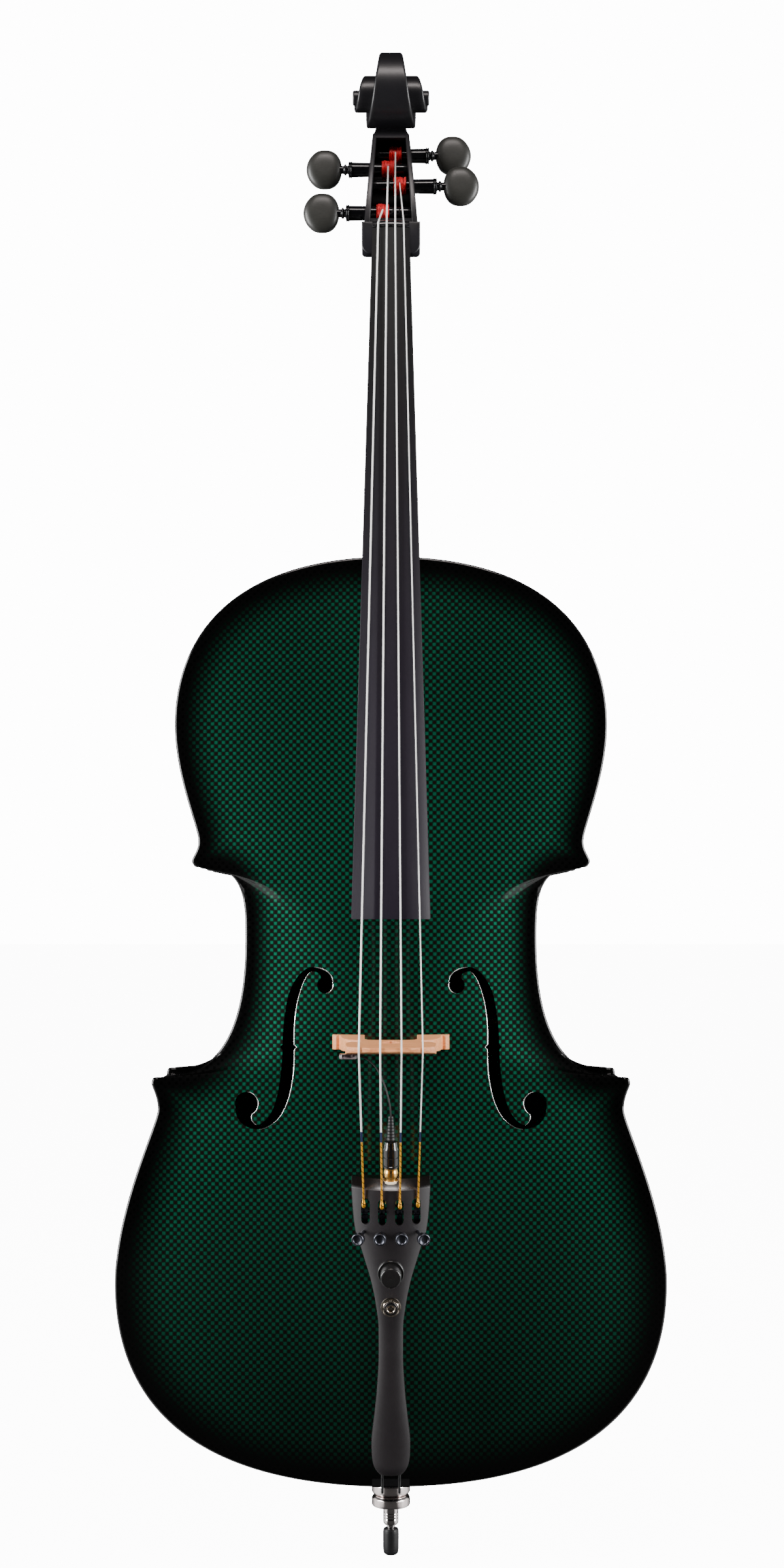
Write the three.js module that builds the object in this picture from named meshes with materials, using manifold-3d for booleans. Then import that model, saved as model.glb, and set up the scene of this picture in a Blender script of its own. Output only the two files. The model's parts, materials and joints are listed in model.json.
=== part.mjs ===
// A full-size electric cello, upright on its endpin.
// Millimetres. +Z runs up the body, +X is to the right of someone facing the strings, -Y faces that person.
// The origin is the middle of the rubber foot's sole, on the axis of the endpin.

import * as THREE from "three";
import { mergeVertices } from "three/addons/utils/BufferGeometryUtils.js";
import Module from "manifold-3d";

const wasm = await Module();
wasm.setup();

// Clearances shared by every joint between pieces
const seat = 0.3;
const runningPlay = 0.3;
const overrun = 3;

// Mesh fineness, as counts
const roundSides = 20;
const smallSides = 12;
const wireSides = 6;
const pegSides = 12;
const thumbSides = 16;

// Endpin, from the floor up
const tipLength = 21.5;
const tipDiameter = 13;
const tipSoleDiameter = 8;
const pinNeckLength = 3;
const pinNeckDiameter = 6.8;
const pinNeckInTip = 13;
const ferruleLength = 14.9;
const ferruleDiameter = 12.5;
const rodDiameter = 10;
const rodLength = 450;
const lockNutHeight = 9.3;
const collarDiameter = 31.5;
const collarGroove = 2.2;
const flangeHeight = 19.7;
const gutGroove = 4.4;
const plugThroatDiameter = 21;
const plugTopDiameter = 22;
const plugMouthDiameter = 25;
const plugLength = 38;

// Body outline
const bodyLength = 752;
const upperWidth = 354.4;
const waistWidth = 237;
const lowerWidth = 445;
const upperCornerWidth = 326;
const lowerCornerWidth = 389;
const upperHollowWidth = 314.4;
const lowerHollowWidth = 377.6;
const upperBoutHeight = 614;
const waistHeight = 437;
const lowerBoutHeight = 162;
const upperHollowRise = 80;
const upperCornerRise = 64;
const lowerCornerDrop = 116;
const lowerHollowDrop = 137;
const cornerBluntWidth = 3;
const cornerBluntHeight = 5;
const cornerLipLength = 12;

// Plates and ribs
const ribHeight = 115;
const ribThickness = 1.7;
const overhang = 3.4;
const edgeThickness = 4.5;
const plateThickness = 5;
const topCrown = 24;
const backCrown = 21;
const edgeRound = 1.2;
const fitAllowance = 1.8;
const buttonRadius = 14;
const neckBlockWidth = 96;
const neckBlockDepth = 42;
const endBlockWidth = 90;
const endBlockDepth = 36;

// f-holes
const fHoleHeight = 129;
const fHoleNotchX = 79;
const notchBelowWaist = 86;
const upperEyeRadius = 6.5;
const lowerEyeRadius = 9.5;
const notchDepth = 2.4;
const notchHeight = 5;

// Bass bar and sound post
const bassBarX = 24;
const bassBarWidth = 10;
const bassBarDepth = 22;
const bassBarLength = 560;
const bassBarCentreHeight = 385;
const soundPostX = 30;
const soundPostHeight = 336;
const soundPostRadius = 5.5;

// Neck, fingerboard and nut
const neckLength = 278.5;
const boardLength = 577;
const boardNutWidth = 31.1;
const boardEndWidth = 61.8;
const boardEdgeThickness = 5.6;
const boardRadius = 62;
const boardHollow = 5;
const boardNutY = -57;
const boardEndY = -148;
const neckDepthAtNut = 21;
const neckDepthAtHeel = 25;
const mortiseDepth = 7;
const nutThickness = 7;
const nutCrownLength = 2.5;
const nutRise = 1;
const nutBackDrop = 5;
const cheekWidth = 49;
const cheekDrop = 21.5;
const cheekRise = 6;
const cheekDepth = 33;
const cheekRound = 8;

// Pegbox and scroll
const headLength = 130.8;
const pegboxLowerWidth = 44.6;
const pegboxUpperWidth = 31.2;
const pegboxStartRise = 8;
const pegboxUpperRise = 92;
const spineWidth = 18;
const wallLower = 4.8;
const wallUpper = 3.2;
const eyeY = -2;
const scrollRadius = 38.1;
const scrollHalfWidth = 33;
const scrollHollow = 1.1;
const scrollChamfer = 1.6;
const spineFlute = 0.9;

// Pegs and windings
const pegRingDiameter = 12.4;
const pegEndDiameter = 9.4;
const pegCollarDiameter = 14.4;
const pegCollarLength = 2.6;
const pegNeckDiameter = 6.6;
const pegBeadDiameter = 9.6;
const pegNeckLength = 5.8;
const thumbLength = 30.4;
const thumbHeight = 34;
const thumbThickness = 11.5;
const windingThread = 1.5;
const windingPitch = 2;
const windingLoops = 5;
const windingSteps = 12;
const windingClearance = 0.6;

// Strings: diameters and places, lowest string first
const stringDiameters = [1.8, 1.4, 1.2, 0.9];
const nutSpacing = 7.13;
const bridgeSpacing = 16.27;
const tailSpacing = 13.9;

// Bridge
const bridgeHeight = 86;
const bridgeFootSpan = 93.6;
const bridgeLineHeight = 356.35;
const bridgeFootThickness = 13.2;
const bridgeTopThickness = 3.2;
const bridgeTailBevel = 2.6;
const bridgeTopRadius = 64;

// Bridge pickup and its lead
const pickupLength = 14;
const pickupHeight = 9;
const pickupThickness = 4.2;
const pickupX = -33;
const pickupDrop = 33;
const pickupRound = 2;
const leadDiameter = 1.2;
const leadSteps = 20;
const leadSides = 8;

// Plug on the lead, and its socket
const bootLength = 19.5;
const bootDiameter = 6.2;
const bootMouthDiameter = 4;
const plugBarrelLength = 21;
const plugBarrelDiameter = 12.7;
const plugSleeveLength = 10.3;
const plugSleeveDiameter = 11;
const plugRimLength = 1.8;
const plugRimDiameter = 13.8;
const plugPinDiameter = 3.5;
const plugPinLength = 12;
const plugAxisDepth = 11.5;
const socketDiameter = 9;
const socketLength = 16.5;
const plugRecessDepth = 4;

// Tailpiece
const tailHeadY = -143;
const tailHeadZ = 314.5;
const tailFootY = -97;
const tailFootZ = 87;
const tailHeadMargin = 9.85;
const tailHeadDepth = 19;
const tailFootDepth = 10;
const tailWall = 1.6;
const tailTopWall = 3.6;
const tailArchShare = 0.29;
const tailBevelLength = 7;
const tailBevelDepth = 8;
const slotWidth = 6.6;
const slotTop = 7;
const slotBottom = 28;

// Fine tuners, measured from the tailpiece's head edge along its length
const slotInward = 0.8;
const tunerHeadSpacing = 17.1;
const tunerScrewDrop = 34;
const tunerScrewDiameter = 3;
const tunerHeadDiameter = 9.8;
const tunerHeadLength = 5.2;
const tunerHeadRise = 15;
const tunerCollarDiameter = 6.4;
const leverAxleDrop = 20.5;
const leverAxleDiameter = 2.4;
const leverThickness = 2.8;
const leverWidth = 4.4;
const leverDepth = 11.2;
const leverHubRadius = 2.6;
const leverPadReach = 4;
const forkOffset = 4.2;
const forkThickness = 2.4;
const forkRise = 1.5;
const forkNotch = 1.8;
const forkNotchDepth = 2.5;
const leverShare = 0.4;
const headDishShare = 0.7;
const headDishDepthShare = 0.3;

// Controls on the tailpiece, measured from its foot
const knobHeight = 167;
const knobDiameter = 15;
const knobFlangeDiameter = 19.5;
const knobFlangeLength = 5;
const knobLength = 14.5;
const potDiameter = 16.5;
const potLength = 8;
const potShaftDiameter = 6;
const potBoreShare = 0.3;
const jackHeight = 139;
const jackWasherDiameter = 15.6;
const jackWasherThickness = 1.2;
const jackNutSize = 12;
const jackNutThickness = 2.6;
const jackSleeveDiameter = 9;
const jackHoleDiameter = 6.6;
const jackBodyLength = 20;
const jackBodyDiameter = 11.5;

// Tailgut and saddle
const gutDiameter = 2;
const gutSpacing = 13.6;
const gutHoleDepth = 9;
const gutSteps = 46;
const saddleWidth = 30;
const saddleHeight = 7;
const saddleDepth = 6;

// Heights and planes that follow from the sizes above
const upperHollowHeight = waistHeight + upperHollowRise;
const fHoleNotchHeight = waistHeight - notchBelowWaist;
const upperCornerHeight = waistHeight + upperCornerRise;
const lowerCornerHeight = waistHeight - lowerCornerDrop;
const lowerHollowHeight = waistHeight - lowerHollowDrop;
const lockNutBottom = tipLength + pinNeckLength + ferruleLength + seat;
const flangeBottom = lockNutBottom + lockNutHeight + seat;
const flangeTop = flangeBottom + flangeHeight;
const ribBottomZ = flangeTop + gutGroove;
const bodyZ = ribBottomZ - overhang;
const bodyTopZ = bodyZ + bodyLength;
const middleHeight = bodyLength / 2;
const ribFront = -ribHeight / 2;
const ribBack = ribHeight / 2;
const nutZ = bodyTopZ + neckLength;
const boardEndZ = nutZ - boardLength;
const bridgeZ = bodyZ + bridgeLineHeight;
const eyeZ = nutZ + headLength;
const slotSpacing = tailSpacing - slotInward;
const stringCount = stringDiameters.length;
const stringCentre = (stringCount - 1) / 2;
const tailHeadHalfWidth = stringCentre * tailSpacing + tailHeadMargin;

// Finishes
const finish = (color, roughness, metalness) =>
  new THREE.MeshStandardMaterial({ color, roughness, metalness });
const lacquer = finish(0x0b4733, 0.16, 0);
const edgeLacquer = finish(0x0a0a0b, 0.15, 0);
const blackWood = finish(0x17161a, 0.38, 0);
const spruce = finish(0xd9bd8a, 0.7, 0);
const maple = finish(0xe2a273, 0.5, 0);
const moulded = finish(0x2b2729, 0.5, 0);
const chrome = finish(0xd5d2d0, 0.2, 1);
const brass = finish(0xd9a441, 0.28, 1);
const rubber = finish(0x121315, 0.75, 0);
const silk = finish(0xd3202a, 0.65, 0);
const stringSteel = finish(0xc9c9c6, 0.3, 1);
const clearPlastic = finish(0xb9aeb4, 0.25, 0);
const cableBlack = finish(0x111113, 0.6, 0);

// Returns a geometry as one closed mesh: only positions, shared corners, faces out.
function closed(geometry) {
  const plain = geometry.clone();
  plain.deleteAttribute("normal");
  plain.deleteAttribute("uv");
  const merged = mergeVertices(plain);
  const position = merged.attributes.position;
  const corners = merged.index.array;
  const kept = [];
  let volume = 0;
  const a = new THREE.Vector3();
  const b = new THREE.Vector3();
  const c = new THREE.Vector3();
  for (let i = 0; i < corners.length; i += 3) {
    const [p, q, r] = [corners[i], corners[i + 1], corners[i + 2]];
    if (p === q || q === r || r === p) continue;
    kept.push(p, q, r);
    a.fromBufferAttribute(position, p);
    b.fromBufferAttribute(position, q);
    c.fromBufferAttribute(position, r);
    volume += a.dot(b.cross(c));
  }
  if (volume < 0) kept.reverse();
  merged.setIndex(kept);
  return merged;
}

function toSolid(geometry) {
  if (geometry.getMesh) return geometry;
  const mesh = closed(geometry);
  const numProp = 3;
  const vertProperties = new Float32Array(mesh.attributes.position.array);
  const triVerts = new Uint32Array(mesh.index.array);
  return new wasm.Manifold(new wasm.Mesh({ numProp, vertProperties, triVerts }));
}

function toGeometry(solid) {
  const mesh = solid.getMesh();
  const geometry = new THREE.BufferGeometry();
  geometry.setAttribute("position", new THREE.BufferAttribute(mesh.vertProperties, mesh.numProp));
  geometry.setIndex(new THREE.BufferAttribute(mesh.triVerts, 1));
  return geometry;
}

function cut(base, ...tools) {
  return tools.reduce((solid, tool) => solid.subtract(toSolid(tool)), toSolid(base));
}

function join(...pieces) {
  return pieces.slice(1).reduce((solid, piece) => solid.add(toSolid(piece)), toSolid(pieces[0]));
}

// Skins a row of rings of equal point count and closes both ends with a fan about the ring's middle.
function loft(rings) {
  const count = rings[0].length;
  const vertices = rings.flat();
  const faces = [];
  for (let r = 0; r + 1 < rings.length; r++) {
    for (let i = 0; i < count; i++) {
      const next = (i + 1) % count;
      const [a, b] = [r * count + i, r * count + next];
      faces.push(a, b, b + count, a, b + count, a + count);
    }
  }
  for (const [ring, start, flip] of [[rings[0], 0, true], [rings.at(-1), (rings.length - 1) * count, false]]) {
    const middle = ring.reduce((sum, p) => sum.clone().add(p), new THREE.Vector3()).divideScalar(count);
    const centre = vertices.push(middle) - 1;
    for (let i = 0; i < count; i++) {
      const [a, b] = [start + i, start + (i + 1) % count];
      faces.push(centre, flip ? b : a, flip ? a : b);
    }
  }
  const geometry = new THREE.BufferGeometry().setFromPoints(vertices);
  geometry.setIndex(faces);
  return closed(geometry);
}

// Extrudes an outline of [x, z] points along Y from one depth to another.
function slab(outline, fromY, toY) {
  const shape = new THREE.Shape(outline.map(([x, z]) => new THREE.Vector2(x, z)));
  const geometry = new THREE.ExtrudeGeometry(shape, { depth: toY - fromY, bevelEnabled: false });
  geometry.rotateX(Math.PI / 2);
  return closed(geometry.translate(0, toY, 0));
}

// Extrudes an outline of [y, z] points along X from one side to the other.
function sideSlab(outline, fromX, toX) {
  const shape = new THREE.Shape(outline.map(([y, z]) => new THREE.Vector2(y, z)));
  const geometry = new THREE.ExtrudeGeometry(shape, { depth: toX - fromX, bevelEnabled: false });
  geometry.applyMatrix4(new THREE.Matrix4().set(0, 0, 1, 0, 1, 0, 0, 0, 0, 1, 0, 0, 0, 0, 0, 1));
  return closed(geometry.translate(fromX, 0, 0));
}

function box(lowX, highX, lowY, highY, lowZ, highZ) {
  const geometry = new THREE.BoxGeometry(highX - lowX, highY - lowY, highZ - lowZ);
  return geometry.translate((lowX + highX) / 2, (lowY + highY) / 2, (lowZ + highZ) / 2);
}

// Turns a profile of [radius, height] points about Z.
function turned(profile, sides = roundSides) {
  const points = profile.map(([radius, height]) => new THREE.Vector2(radius, height));
  return closed(new THREE.LatheGeometry(points, sides).rotateX(Math.PI / 2));
}

// The radius that a many-sided hole needs so that a round shaft turns freely in it.
const holeRadius = (radius, sides, play) => (radius + play) / Math.cos(Math.PI / sides);

// A round wire through a short row of points, mitred at each bend.
function wire(points, radius, sides = wireSides) {
  const rings = points.map((point, i) => {
    const before = points[Math.max(i - 1, 0)];
    const after = points[Math.min(i + 1, points.length - 1)];
    const along = after.clone().sub(before).normalize();
    const across = new THREE.Vector3(1, 0, 0).addScaledVector(along, -along.x).normalize();
    const up = along.clone().cross(across);
    return Array.from({ length: sides }, (_, k) => {
      const angle = (k / sides) * 2 * Math.PI;
      const offset = across.clone().multiplyScalar(Math.cos(angle)).addScaledVector(up, Math.sin(angle));
      return point.clone().addScaledVector(offset, radius);
    });
  });
  return loft(rings);
}

// A round cord along a smooth curve through the points.
function cord(points, radius, steps, sides) {
  const path = new THREE.CatmullRomCurve3(points, false, "centripetal");
  const section = new THREE.Shape(Array.from({ length: sides }, (_, k) => {
    const angle = (k / sides) * 2 * Math.PI;
    return new THREE.Vector2(radius * Math.cos(angle), radius * Math.sin(angle));
  }));
  return closed(new THREE.ExtrudeGeometry(section, { steps, extrudePath: path, bevelEnabled: false }));
}

function curve(from, handleA, handleB, to, steps) {
  const bezier = new THREE.CubicBezierCurve(
    new THREE.Vector2(...from), new THREE.Vector2(...handleA),
    new THREE.Vector2(...handleB), new THREE.Vector2(...to));
  return bezier.getPoints(steps).slice(1).map((p) => [p.x, p.y]);
}

const mix = (a, b, share) => a + (b - a) * share;

const cello = new THREE.Group();

function add(name, geometry, material, parent = cello) {
  const mesh = new THREE.Mesh(closed(geometry.getMesh ? toGeometry(geometry) : geometry), material);
  mesh.name = name;
  parent.add(mesh);
  return mesh;
}

// Body outline
// The right half runs from the top middle down to the bottom middle, as heights above the body's lower edge.
function halfOutline(blunt) {
  const upper = upperWidth / 2;
  const waist = waistWidth / 2;
  const lower = lowerWidth / 2;
  const upperTip = [upperCornerWidth / 2, upperCornerHeight];
  const lowerTip = [lowerCornerWidth / 2, lowerCornerHeight];
  const upperHollow = [upperHollowWidth / 2, upperHollowHeight];
  const lowerHollow = [lowerHollowWidth / 2, lowerHollowHeight];
  const upperEdge = upperCornerHeight - cornerBluntHeight;
  const lowerEdge = lowerCornerHeight + cornerBluntHeight;
  const upperLip = [upperTip[0] - cornerBluntWidth - cornerLipLength, upperEdge];
  const lowerLip = [lowerTip[0] - cornerBluntWidth - cornerLipLength / 2, lowerEdge];
  const points = [[0, bodyLength]];
  points.push(...curve([0, bodyLength], [upper * 0.73, bodyLength],
    [upper, mix(bodyLength, upperBoutHeight, 0.47)], [upper, upperBoutHeight], 6));
  points.push(...curve([upper, upperBoutHeight], [upper, mix(upperBoutHeight, upperHollowHeight, 0.45)],
    [upperHollow[0], mix(upperHollowHeight, upperBoutHeight, 0.12)], upperHollow, 4));
  points.push(...curve(upperHollow, [upperHollow[0], mix(upperHollow[1], upperTip[1], 0.4)],
    [mix(upperTip[0], upperHollow[0], 0.4), mix(upperTip[1], upperHollow[1], 0.35)], upperTip, 2));
  const upperTipIndex = points.length - 1;
  if (blunt) points.push([upperTip[0] - cornerBluntWidth, upperEdge]);
  points.push(upperLip);
  points.push(...curve(upperLip, [mix(upperLip[0], waist, 0.94), mix(upperEdge, waistHeight, 0.04)],
    [waist, mix(upperEdge, waistHeight, 0.43)], [waist, waistHeight], 5));
  points.push(...curve([waist, waistHeight], [waist, mix(waistHeight, lowerEdge, 0.43)],
    [mix(waist, lowerLip[0], 0.12), lowerEdge], lowerLip, 6));
  if (blunt) points.push([lowerTip[0] - cornerBluntWidth / 2, lowerEdge]);
  points.push(lowerTip);
  const lowerTipIndex = points.length - 1;
  points.push(...curve(lowerTip, [mix(lowerTip[0], lowerHollow[0], 0.5), mix(lowerTip[1], lowerHollow[1], 0.35)],
    [lowerHollow[0], mix(lowerHollow[1], lowerTip[1], 0.4)], lowerHollow, 2));
  points.push(...curve(lowerHollow, [lowerHollow[0], mix(lowerHollowHeight, lowerBoutHeight, 0.08)],
    [lower, mix(lowerBoutHeight, lowerHollowHeight, 0.43)], [lower, lowerBoutHeight], 5));
  points.push(...curve([lower, lowerBoutHeight], [lower, lowerBoutHeight * 0.37],
    [lower * 0.68, 0], [0, 0], 8));
  return { points, upperTipIndex, lowerTipIndex };
}

const mirrored = (half) => [...half, ...half.slice(1, -1).reverse().map(([x, z]) => [-x, z])];

// Moves each point of a closed loop inwards by a distance, mitred; the loop runs clockwise from the top.
function inset(loop, distance) {
  return loop.map((point, i) => {
    const before = loop[(i + loop.length - 1) % loop.length];
    const after = loop[(i + 1) % loop.length];
    const normal = (from, to) => {
      const length = Math.hypot(to[0] - from[0], to[1] - from[1]);
      return [(to[1] - from[1]) / length, -(to[0] - from[0]) / length];
    };
    const n = normal(before, point);
    const m = normal(point, after);
    const scale = distance / (1 + n[0] * m[0] + n[1] * m[1]);
    return [point[0] + (n[0] + m[0]) * scale, point[1] + (n[1] + m[1]) * scale];
  });
}

const bluntHalf = halfOutline(true);
const sharpHalf = halfOutline(false);
const plateLoop = mirrored(bluntHalf.points);
const sharpLoop = mirrored(sharpHalf.points);

// Plate arching
// A ring's share runs from 1 at the edge to 0 on a straight spine along the middle of the plate.
const spineShare = 0.62;
const ringPoint = ([x, z], share) =>
  [x * share, mix(middleHeight, z, mix(spineShare, 1, share))];

function archShare(share, height) {
  const across = (1 - share ** 2) ** 1.5;
  const along = 0.55 + 0.45 * Math.cos((Math.PI * (height - middleHeight)) / bodyLength);
  return across * along;
}

function halfWidthAt(height) {
  const half = bluntHalf.points;
  for (let i = 0; i + 1 < half.length; i++) {
    const [x0, z0] = half[i];
    const [x1, z1] = half[i + 1];
    if (height <= z0 && height >= z1) return z0 === z1 ? x1 : mix(x0, x1, (z0 - height) / (z0 - z1));
  }
  return 0;
}

// How far the arch stands above the plate's edge at a place on the body.
function archAt(x, height, crown) {
  let share = 0.5;
  for (let i = 0; i < 30; i++) {
    const source = middleHeight + (height - middleHeight) / mix(spineShare, 1, share);
    const width = Math.max(halfWidthAt(Math.min(Math.max(source, 0), bodyLength)), Math.abs(x));
    share = mix(share, width ? Math.abs(x) / width : 0, 0.7);
  }
  return crown * archShare(share, height);
}

const plateRingShares = [0.93, 0.78, 0.55, 0.28, 0];
const innerRingShares = [0.9, 0.62, 0.3, 0];

// The outline's corners fade out of the rings further in, so that they leave no creases in the arch.
const mostSofteningPasses = 9;
function softenedLoop(share) {
  let loop = plateLoop;
  for (let pass = 0; pass < Math.round((1 - share) * mostSofteningPasses); pass++) {
    loop = loop.map(([x, z], i) => {
      const [before, after] = [loop[(i + loop.length - 1) % loop.length], loop[(i + 1) % loop.length]];
      return [(before[0] + 2 * x + after[0]) / 4, (before[1] + 2 * z + after[1]) / 4];
    });
  }
  return loop;
}

// One arched plate; side is -1 for the top, which faces -Y, and 1 for the back.
function plate(crown, side) {
  const glueY = ribBack + seat;
  const ring = (share, depthAt) => softenedLoop(share).map((corner) => {
    const [x, height] = ringPoint(corner, share);
    return new THREE.Vector3(x, side * (glueY + depthAt(share, height)), bodyZ + height);
  });
  const rounded = inset(plateLoop, edgeRound).map(([x, height]) =>
    new THREE.Vector3(x, side * (glueY + edgeThickness), bodyZ + height));
  const outerDepth = (share, height) => edgeThickness + crown * archShare(share, height);
  const innerDepth = (share, height) => Math.max(0, outerDepth(share, height) - plateThickness);
  const rings = [
    ...[...innerRingShares].reverse().map((share) => ring(share, innerDepth)),
    ring(1, () => 0),
    ring(1, () => edgeThickness - edgeRound),
    rounded,
    ...plateRingShares.map((share) => ring(share, outerDepth)),
  ];
  const count = plateLoop.length;
  const faces = [];
  for (let r = 0; r + 1 < rings.length; r++) {
    for (let i = 0; i < count; i++) {
      const next = (i + 1) % count;
      const [a, b] = [r * count + i, r * count + next];
      faces.push(a, b, b + count, a, b + count, a + count);
    }
  }
  const geometry = new THREE.BufferGeometry().setFromPoints(rings.flat());
  geometry.setIndex(faces);
  return closed(geometry);
}

// f-holes
// Stem points as shares of the hole's height: outwards from the notch, up from the notch, half width.
const fStemShares = [
  [-0.2105, 0.405, 0.042], [-0.2065, 0.437, 0.0345], [-0.176, 0.4715, 0.0185], [-0.116, 0.484, 0.014],
  [-0.064, 0.445, 0.022], [-0.011, 0.34, 0.032], [0.017, 0.207, 0.033], [0.027, 0.083, 0.035],
  [0.027, -0.058, 0.038], [0.039, -0.206, 0.039], [0.066, -0.33, 0.036], [0.11, -0.423, 0.029],
  [0.178, -0.483, 0.0185], [0.228, -0.4935, 0.0135], [0.2835, -0.458, 0.034], [0.3005, -0.4079, 0.055],
];
const notchRow = 7;
const upperEyeShares = [-0.2023, 0.3857];
const lowerEyeShares = [0.287, -0.351];
const fHoleEdgeSteps = 26;

function fHoleOutline(side) {
  const place = (out, up) => new THREE.Vector2(side * (fHoleNotchX + out * fHoleHeight), up * fHoleHeight);
  const line = new THREE.SplineCurve(fStemShares.map(([out, up]) => place(out, up)));
  const widths = new THREE.SplineCurve(fStemShares.map(([, , half], i) => new THREE.Vector2(i, half * fHoleHeight)));
  const edges = [[], []];
  for (let i = 0; i <= fHoleEdgeSteps; i++) {
    const share = i / fHoleEdgeSteps;
    const middle = line.getPoint(share);
    const along = line.getTangent(share);
    const half = widths.getPoint(share).y;
    edges[0].push([middle.x - along.y * half, middle.y + along.x * half]);
    edges[1].push([middle.x + along.y * half, middle.y - along.x * half]);
  }
  return [...edges[0], ...edges[1].reverse()];
}

function fHoleCutter(side) {
  const from = ribFront - edgeThickness - topCrown - overrun;
  const to = ribFront + overrun;
  const lift = (outline) => outline.map(([x, z]) => [x, z + bodyZ + fHoleNotchHeight]);
  const eye = ([out, up], radius, sides) => slab(lift(Array.from({ length: sides }, (_, k) => {
    const angle = (k / sides) * 2 * Math.PI;
    return [side * (fHoleNotchX + out * fHoleHeight) + radius * Math.cos(angle),
      up * fHoleHeight + radius * Math.sin(angle)];
  })), from, to);
  const stemX = side * (fHoleNotchX + fStemShares[notchRow][0] * fHoleHeight);
  const reach = fStemShares[notchRow][2] * fHoleHeight + notchDepth;
  const notch = slab(lift([[stemX - reach, 0], [stemX, -notchHeight], [stemX + reach, 0],
    [stemX, notchHeight]]), from, to);
  return join(slab(lift(fHoleOutline(side)), from, to), eye(upperEyeShares, upperEyeRadius, 14),
    eye(lowerEyeShares, lowerEyeRadius, 16), notch);
}

// Neck sections
// The fingerboard's underside is a plane that runs from the nut to the board's end.
const boardHalfWidth = (z) => mix(boardNutWidth, boardEndWidth, (nutZ - z) / boardLength) / 2;
const boardTopY = (z) => mix(boardNutY, boardEndY, (nutZ - z) / boardLength);
const boardSagitta = (halfWidth) => boardRadius - Math.sqrt(boardRadius ** 2 - halfWidth ** 2);
const nutDepth = boardSagitta(boardNutWidth / 2) + boardEdgeThickness;
const endDepth = boardSagitta(boardEndWidth / 2) + boardEdgeThickness;
const boardBaseY = (z) => boardTopY(z) + mix(nutDepth, endDepth, (nutZ - z) / boardLength);

// How far the neck's back has swept towards the body's back, down the length of the neck.
const heelShares = [[0, 0], [0.3, 0], [0.6, 0], [0.78, 0], [0.86, 0.08], [0.91, 0.22], [0.95, 0.48],
  [0.98, 0.84], [1, 1]];
const heelSteps = 8;

function neckRing(z, backY, play) {
  const half = boardHalfWidth(z) + play;
  const front = boardBaseY(z) + seat - play;
  const depth = backY + play - front;
  return Array.from({ length: heelSteps + 1 }, (_, i) => {
    const angle = (i / heelSteps) * Math.PI;
    return new THREE.Vector3(half * Math.cos(angle), front + depth * Math.sin(angle) ** 0.85, z);
  });
}

function neckBackY(share) {
  const z = nutZ - share * neckLength;
  return boardBaseY(z) + mix(neckDepthAtNut, neckDepthAtHeel, share);
}

function neckShaft() {
  const rings = heelShares.map(([share, sweep]) =>
    neckRing(nutZ - share * neckLength, mix(neckBackY(share), ribBack - seat, sweep), 0));
  rings.push(neckRing(bodyTopZ - mortiseDepth, ribBack - seat, 0));
  return loft(rings);
}

function mortiseCutter() {
  const rings = [bodyTopZ + overrun, bodyTopZ - mortiseDepth - seat].map((z) =>
    neckRing(z, ribBack - seat, seat));
  return loft(rings);
}

// Pegbox
// Side view as shares of the distance from nut to scroll eye: backwards from the origin plane, up from the nut.
const pegboxSideShares = [
  [-0.206, -0.191], [-0.157, -0.1], [-0.085, -0.03], [-0.05, 0.076], [0.031, 0.459], [0.088, 0.688],
  [0.155, 0.82], [0.235, 0.92], [0.264, 1], [0.046, 1], [0.008, 0.8], [-0.075, 0.745], [-0.161, 0.7],
  [-0.371, 0.061], [-0.371, -0.05], [-0.36, -0.191],
];
const cavityTopShare = 0.675;
const cavityBottomShare = 0.076;
const cavityFloorShares = [[-0.115, 0.076], [-0.03, 0.459], [0.01, 0.6], [-0.01, 0.675]];
const pegboxFrontShare = -0.42;

function pegboxHalfWidth(z) {
  const rise = z - nutZ;
  const half = mix(pegboxLowerWidth, pegboxUpperWidth, (rise - pegboxStartRise) / (pegboxUpperRise - pegboxStartRise)) / 2;
  if (rise < pegboxUpperRise) return half;
  return mix(pegboxUpperWidth, spineWidth, (rise - pegboxUpperRise) / (headLength - pegboxUpperRise)) / 2;
}

const wallAt = (z) => mix(wallLower, wallUpper, (z - nutZ) / pegboxUpperRise);

// Widens a slab one unit deep on each side of the middle to the half width that a height calls for.
function widened(geometry, halfWidth) {
  const position = geometry.attributes.position;
  for (let i = 0; i < position.count; i++) {
    position.setX(i, Math.sign(position.getX(i)) * halfWidth(position.getZ(i)));
  }
  return geometry;
}

function pegbox() {
  const outline = pegboxSideShares.map(([back, up]) => [back * headLength, nutZ + up * headLength]);
  return widened(sideSlab(outline, -1, 1), pegboxHalfWidth);
}

// The cavity keeps clear of every winding: it grows down, up and backwards where a shorter head calls for it.
function pegboxCavity() {
  const places = Object.values(pegPlaces);
  const reach = (place) => windingRadius(place) + windingThread / 2 + windingClearance;
  const low = Math.min(cavityBottomShare * headLength, ...places.map((place) => place.rise - reach(place)));
  const high = Math.max(cavityTopShare * headLength, ...places.map((place) => place.rise + reach(place)));
  const floorAt = (rise) => {
    const next = Math.max(cavityFloorShares.findIndex(([, up]) => up * headLength >= rise), 1);
    const [a, b] = [cavityFloorShares[next - 1], cavityFloorShares[next]];
    return mix(a[0], b[0], (rise / headLength - a[1]) / (b[1] - a[1])) * headLength;
  };
  const drop = Math.max(0, ...places.map((place) => place.y + reach(place) - floorAt(place.rise)));
  const heights = [low, ...cavityFloorShares.slice(1, -1).map(([, up]) => up * headLength), high];
  const floor = cavityFloorShares.map(([back], i) => [back * headLength + drop, nutZ + heights[i]]);
  const front = pegboxFrontShare * headLength - overrun;
  const outline = [[front, nutZ + low], ...floor, [front, nutZ + high]];
  return widened(sideSlab(outline, -1, 1), (z) => pegboxHalfWidth(z) - wallAt(z));
}

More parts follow.
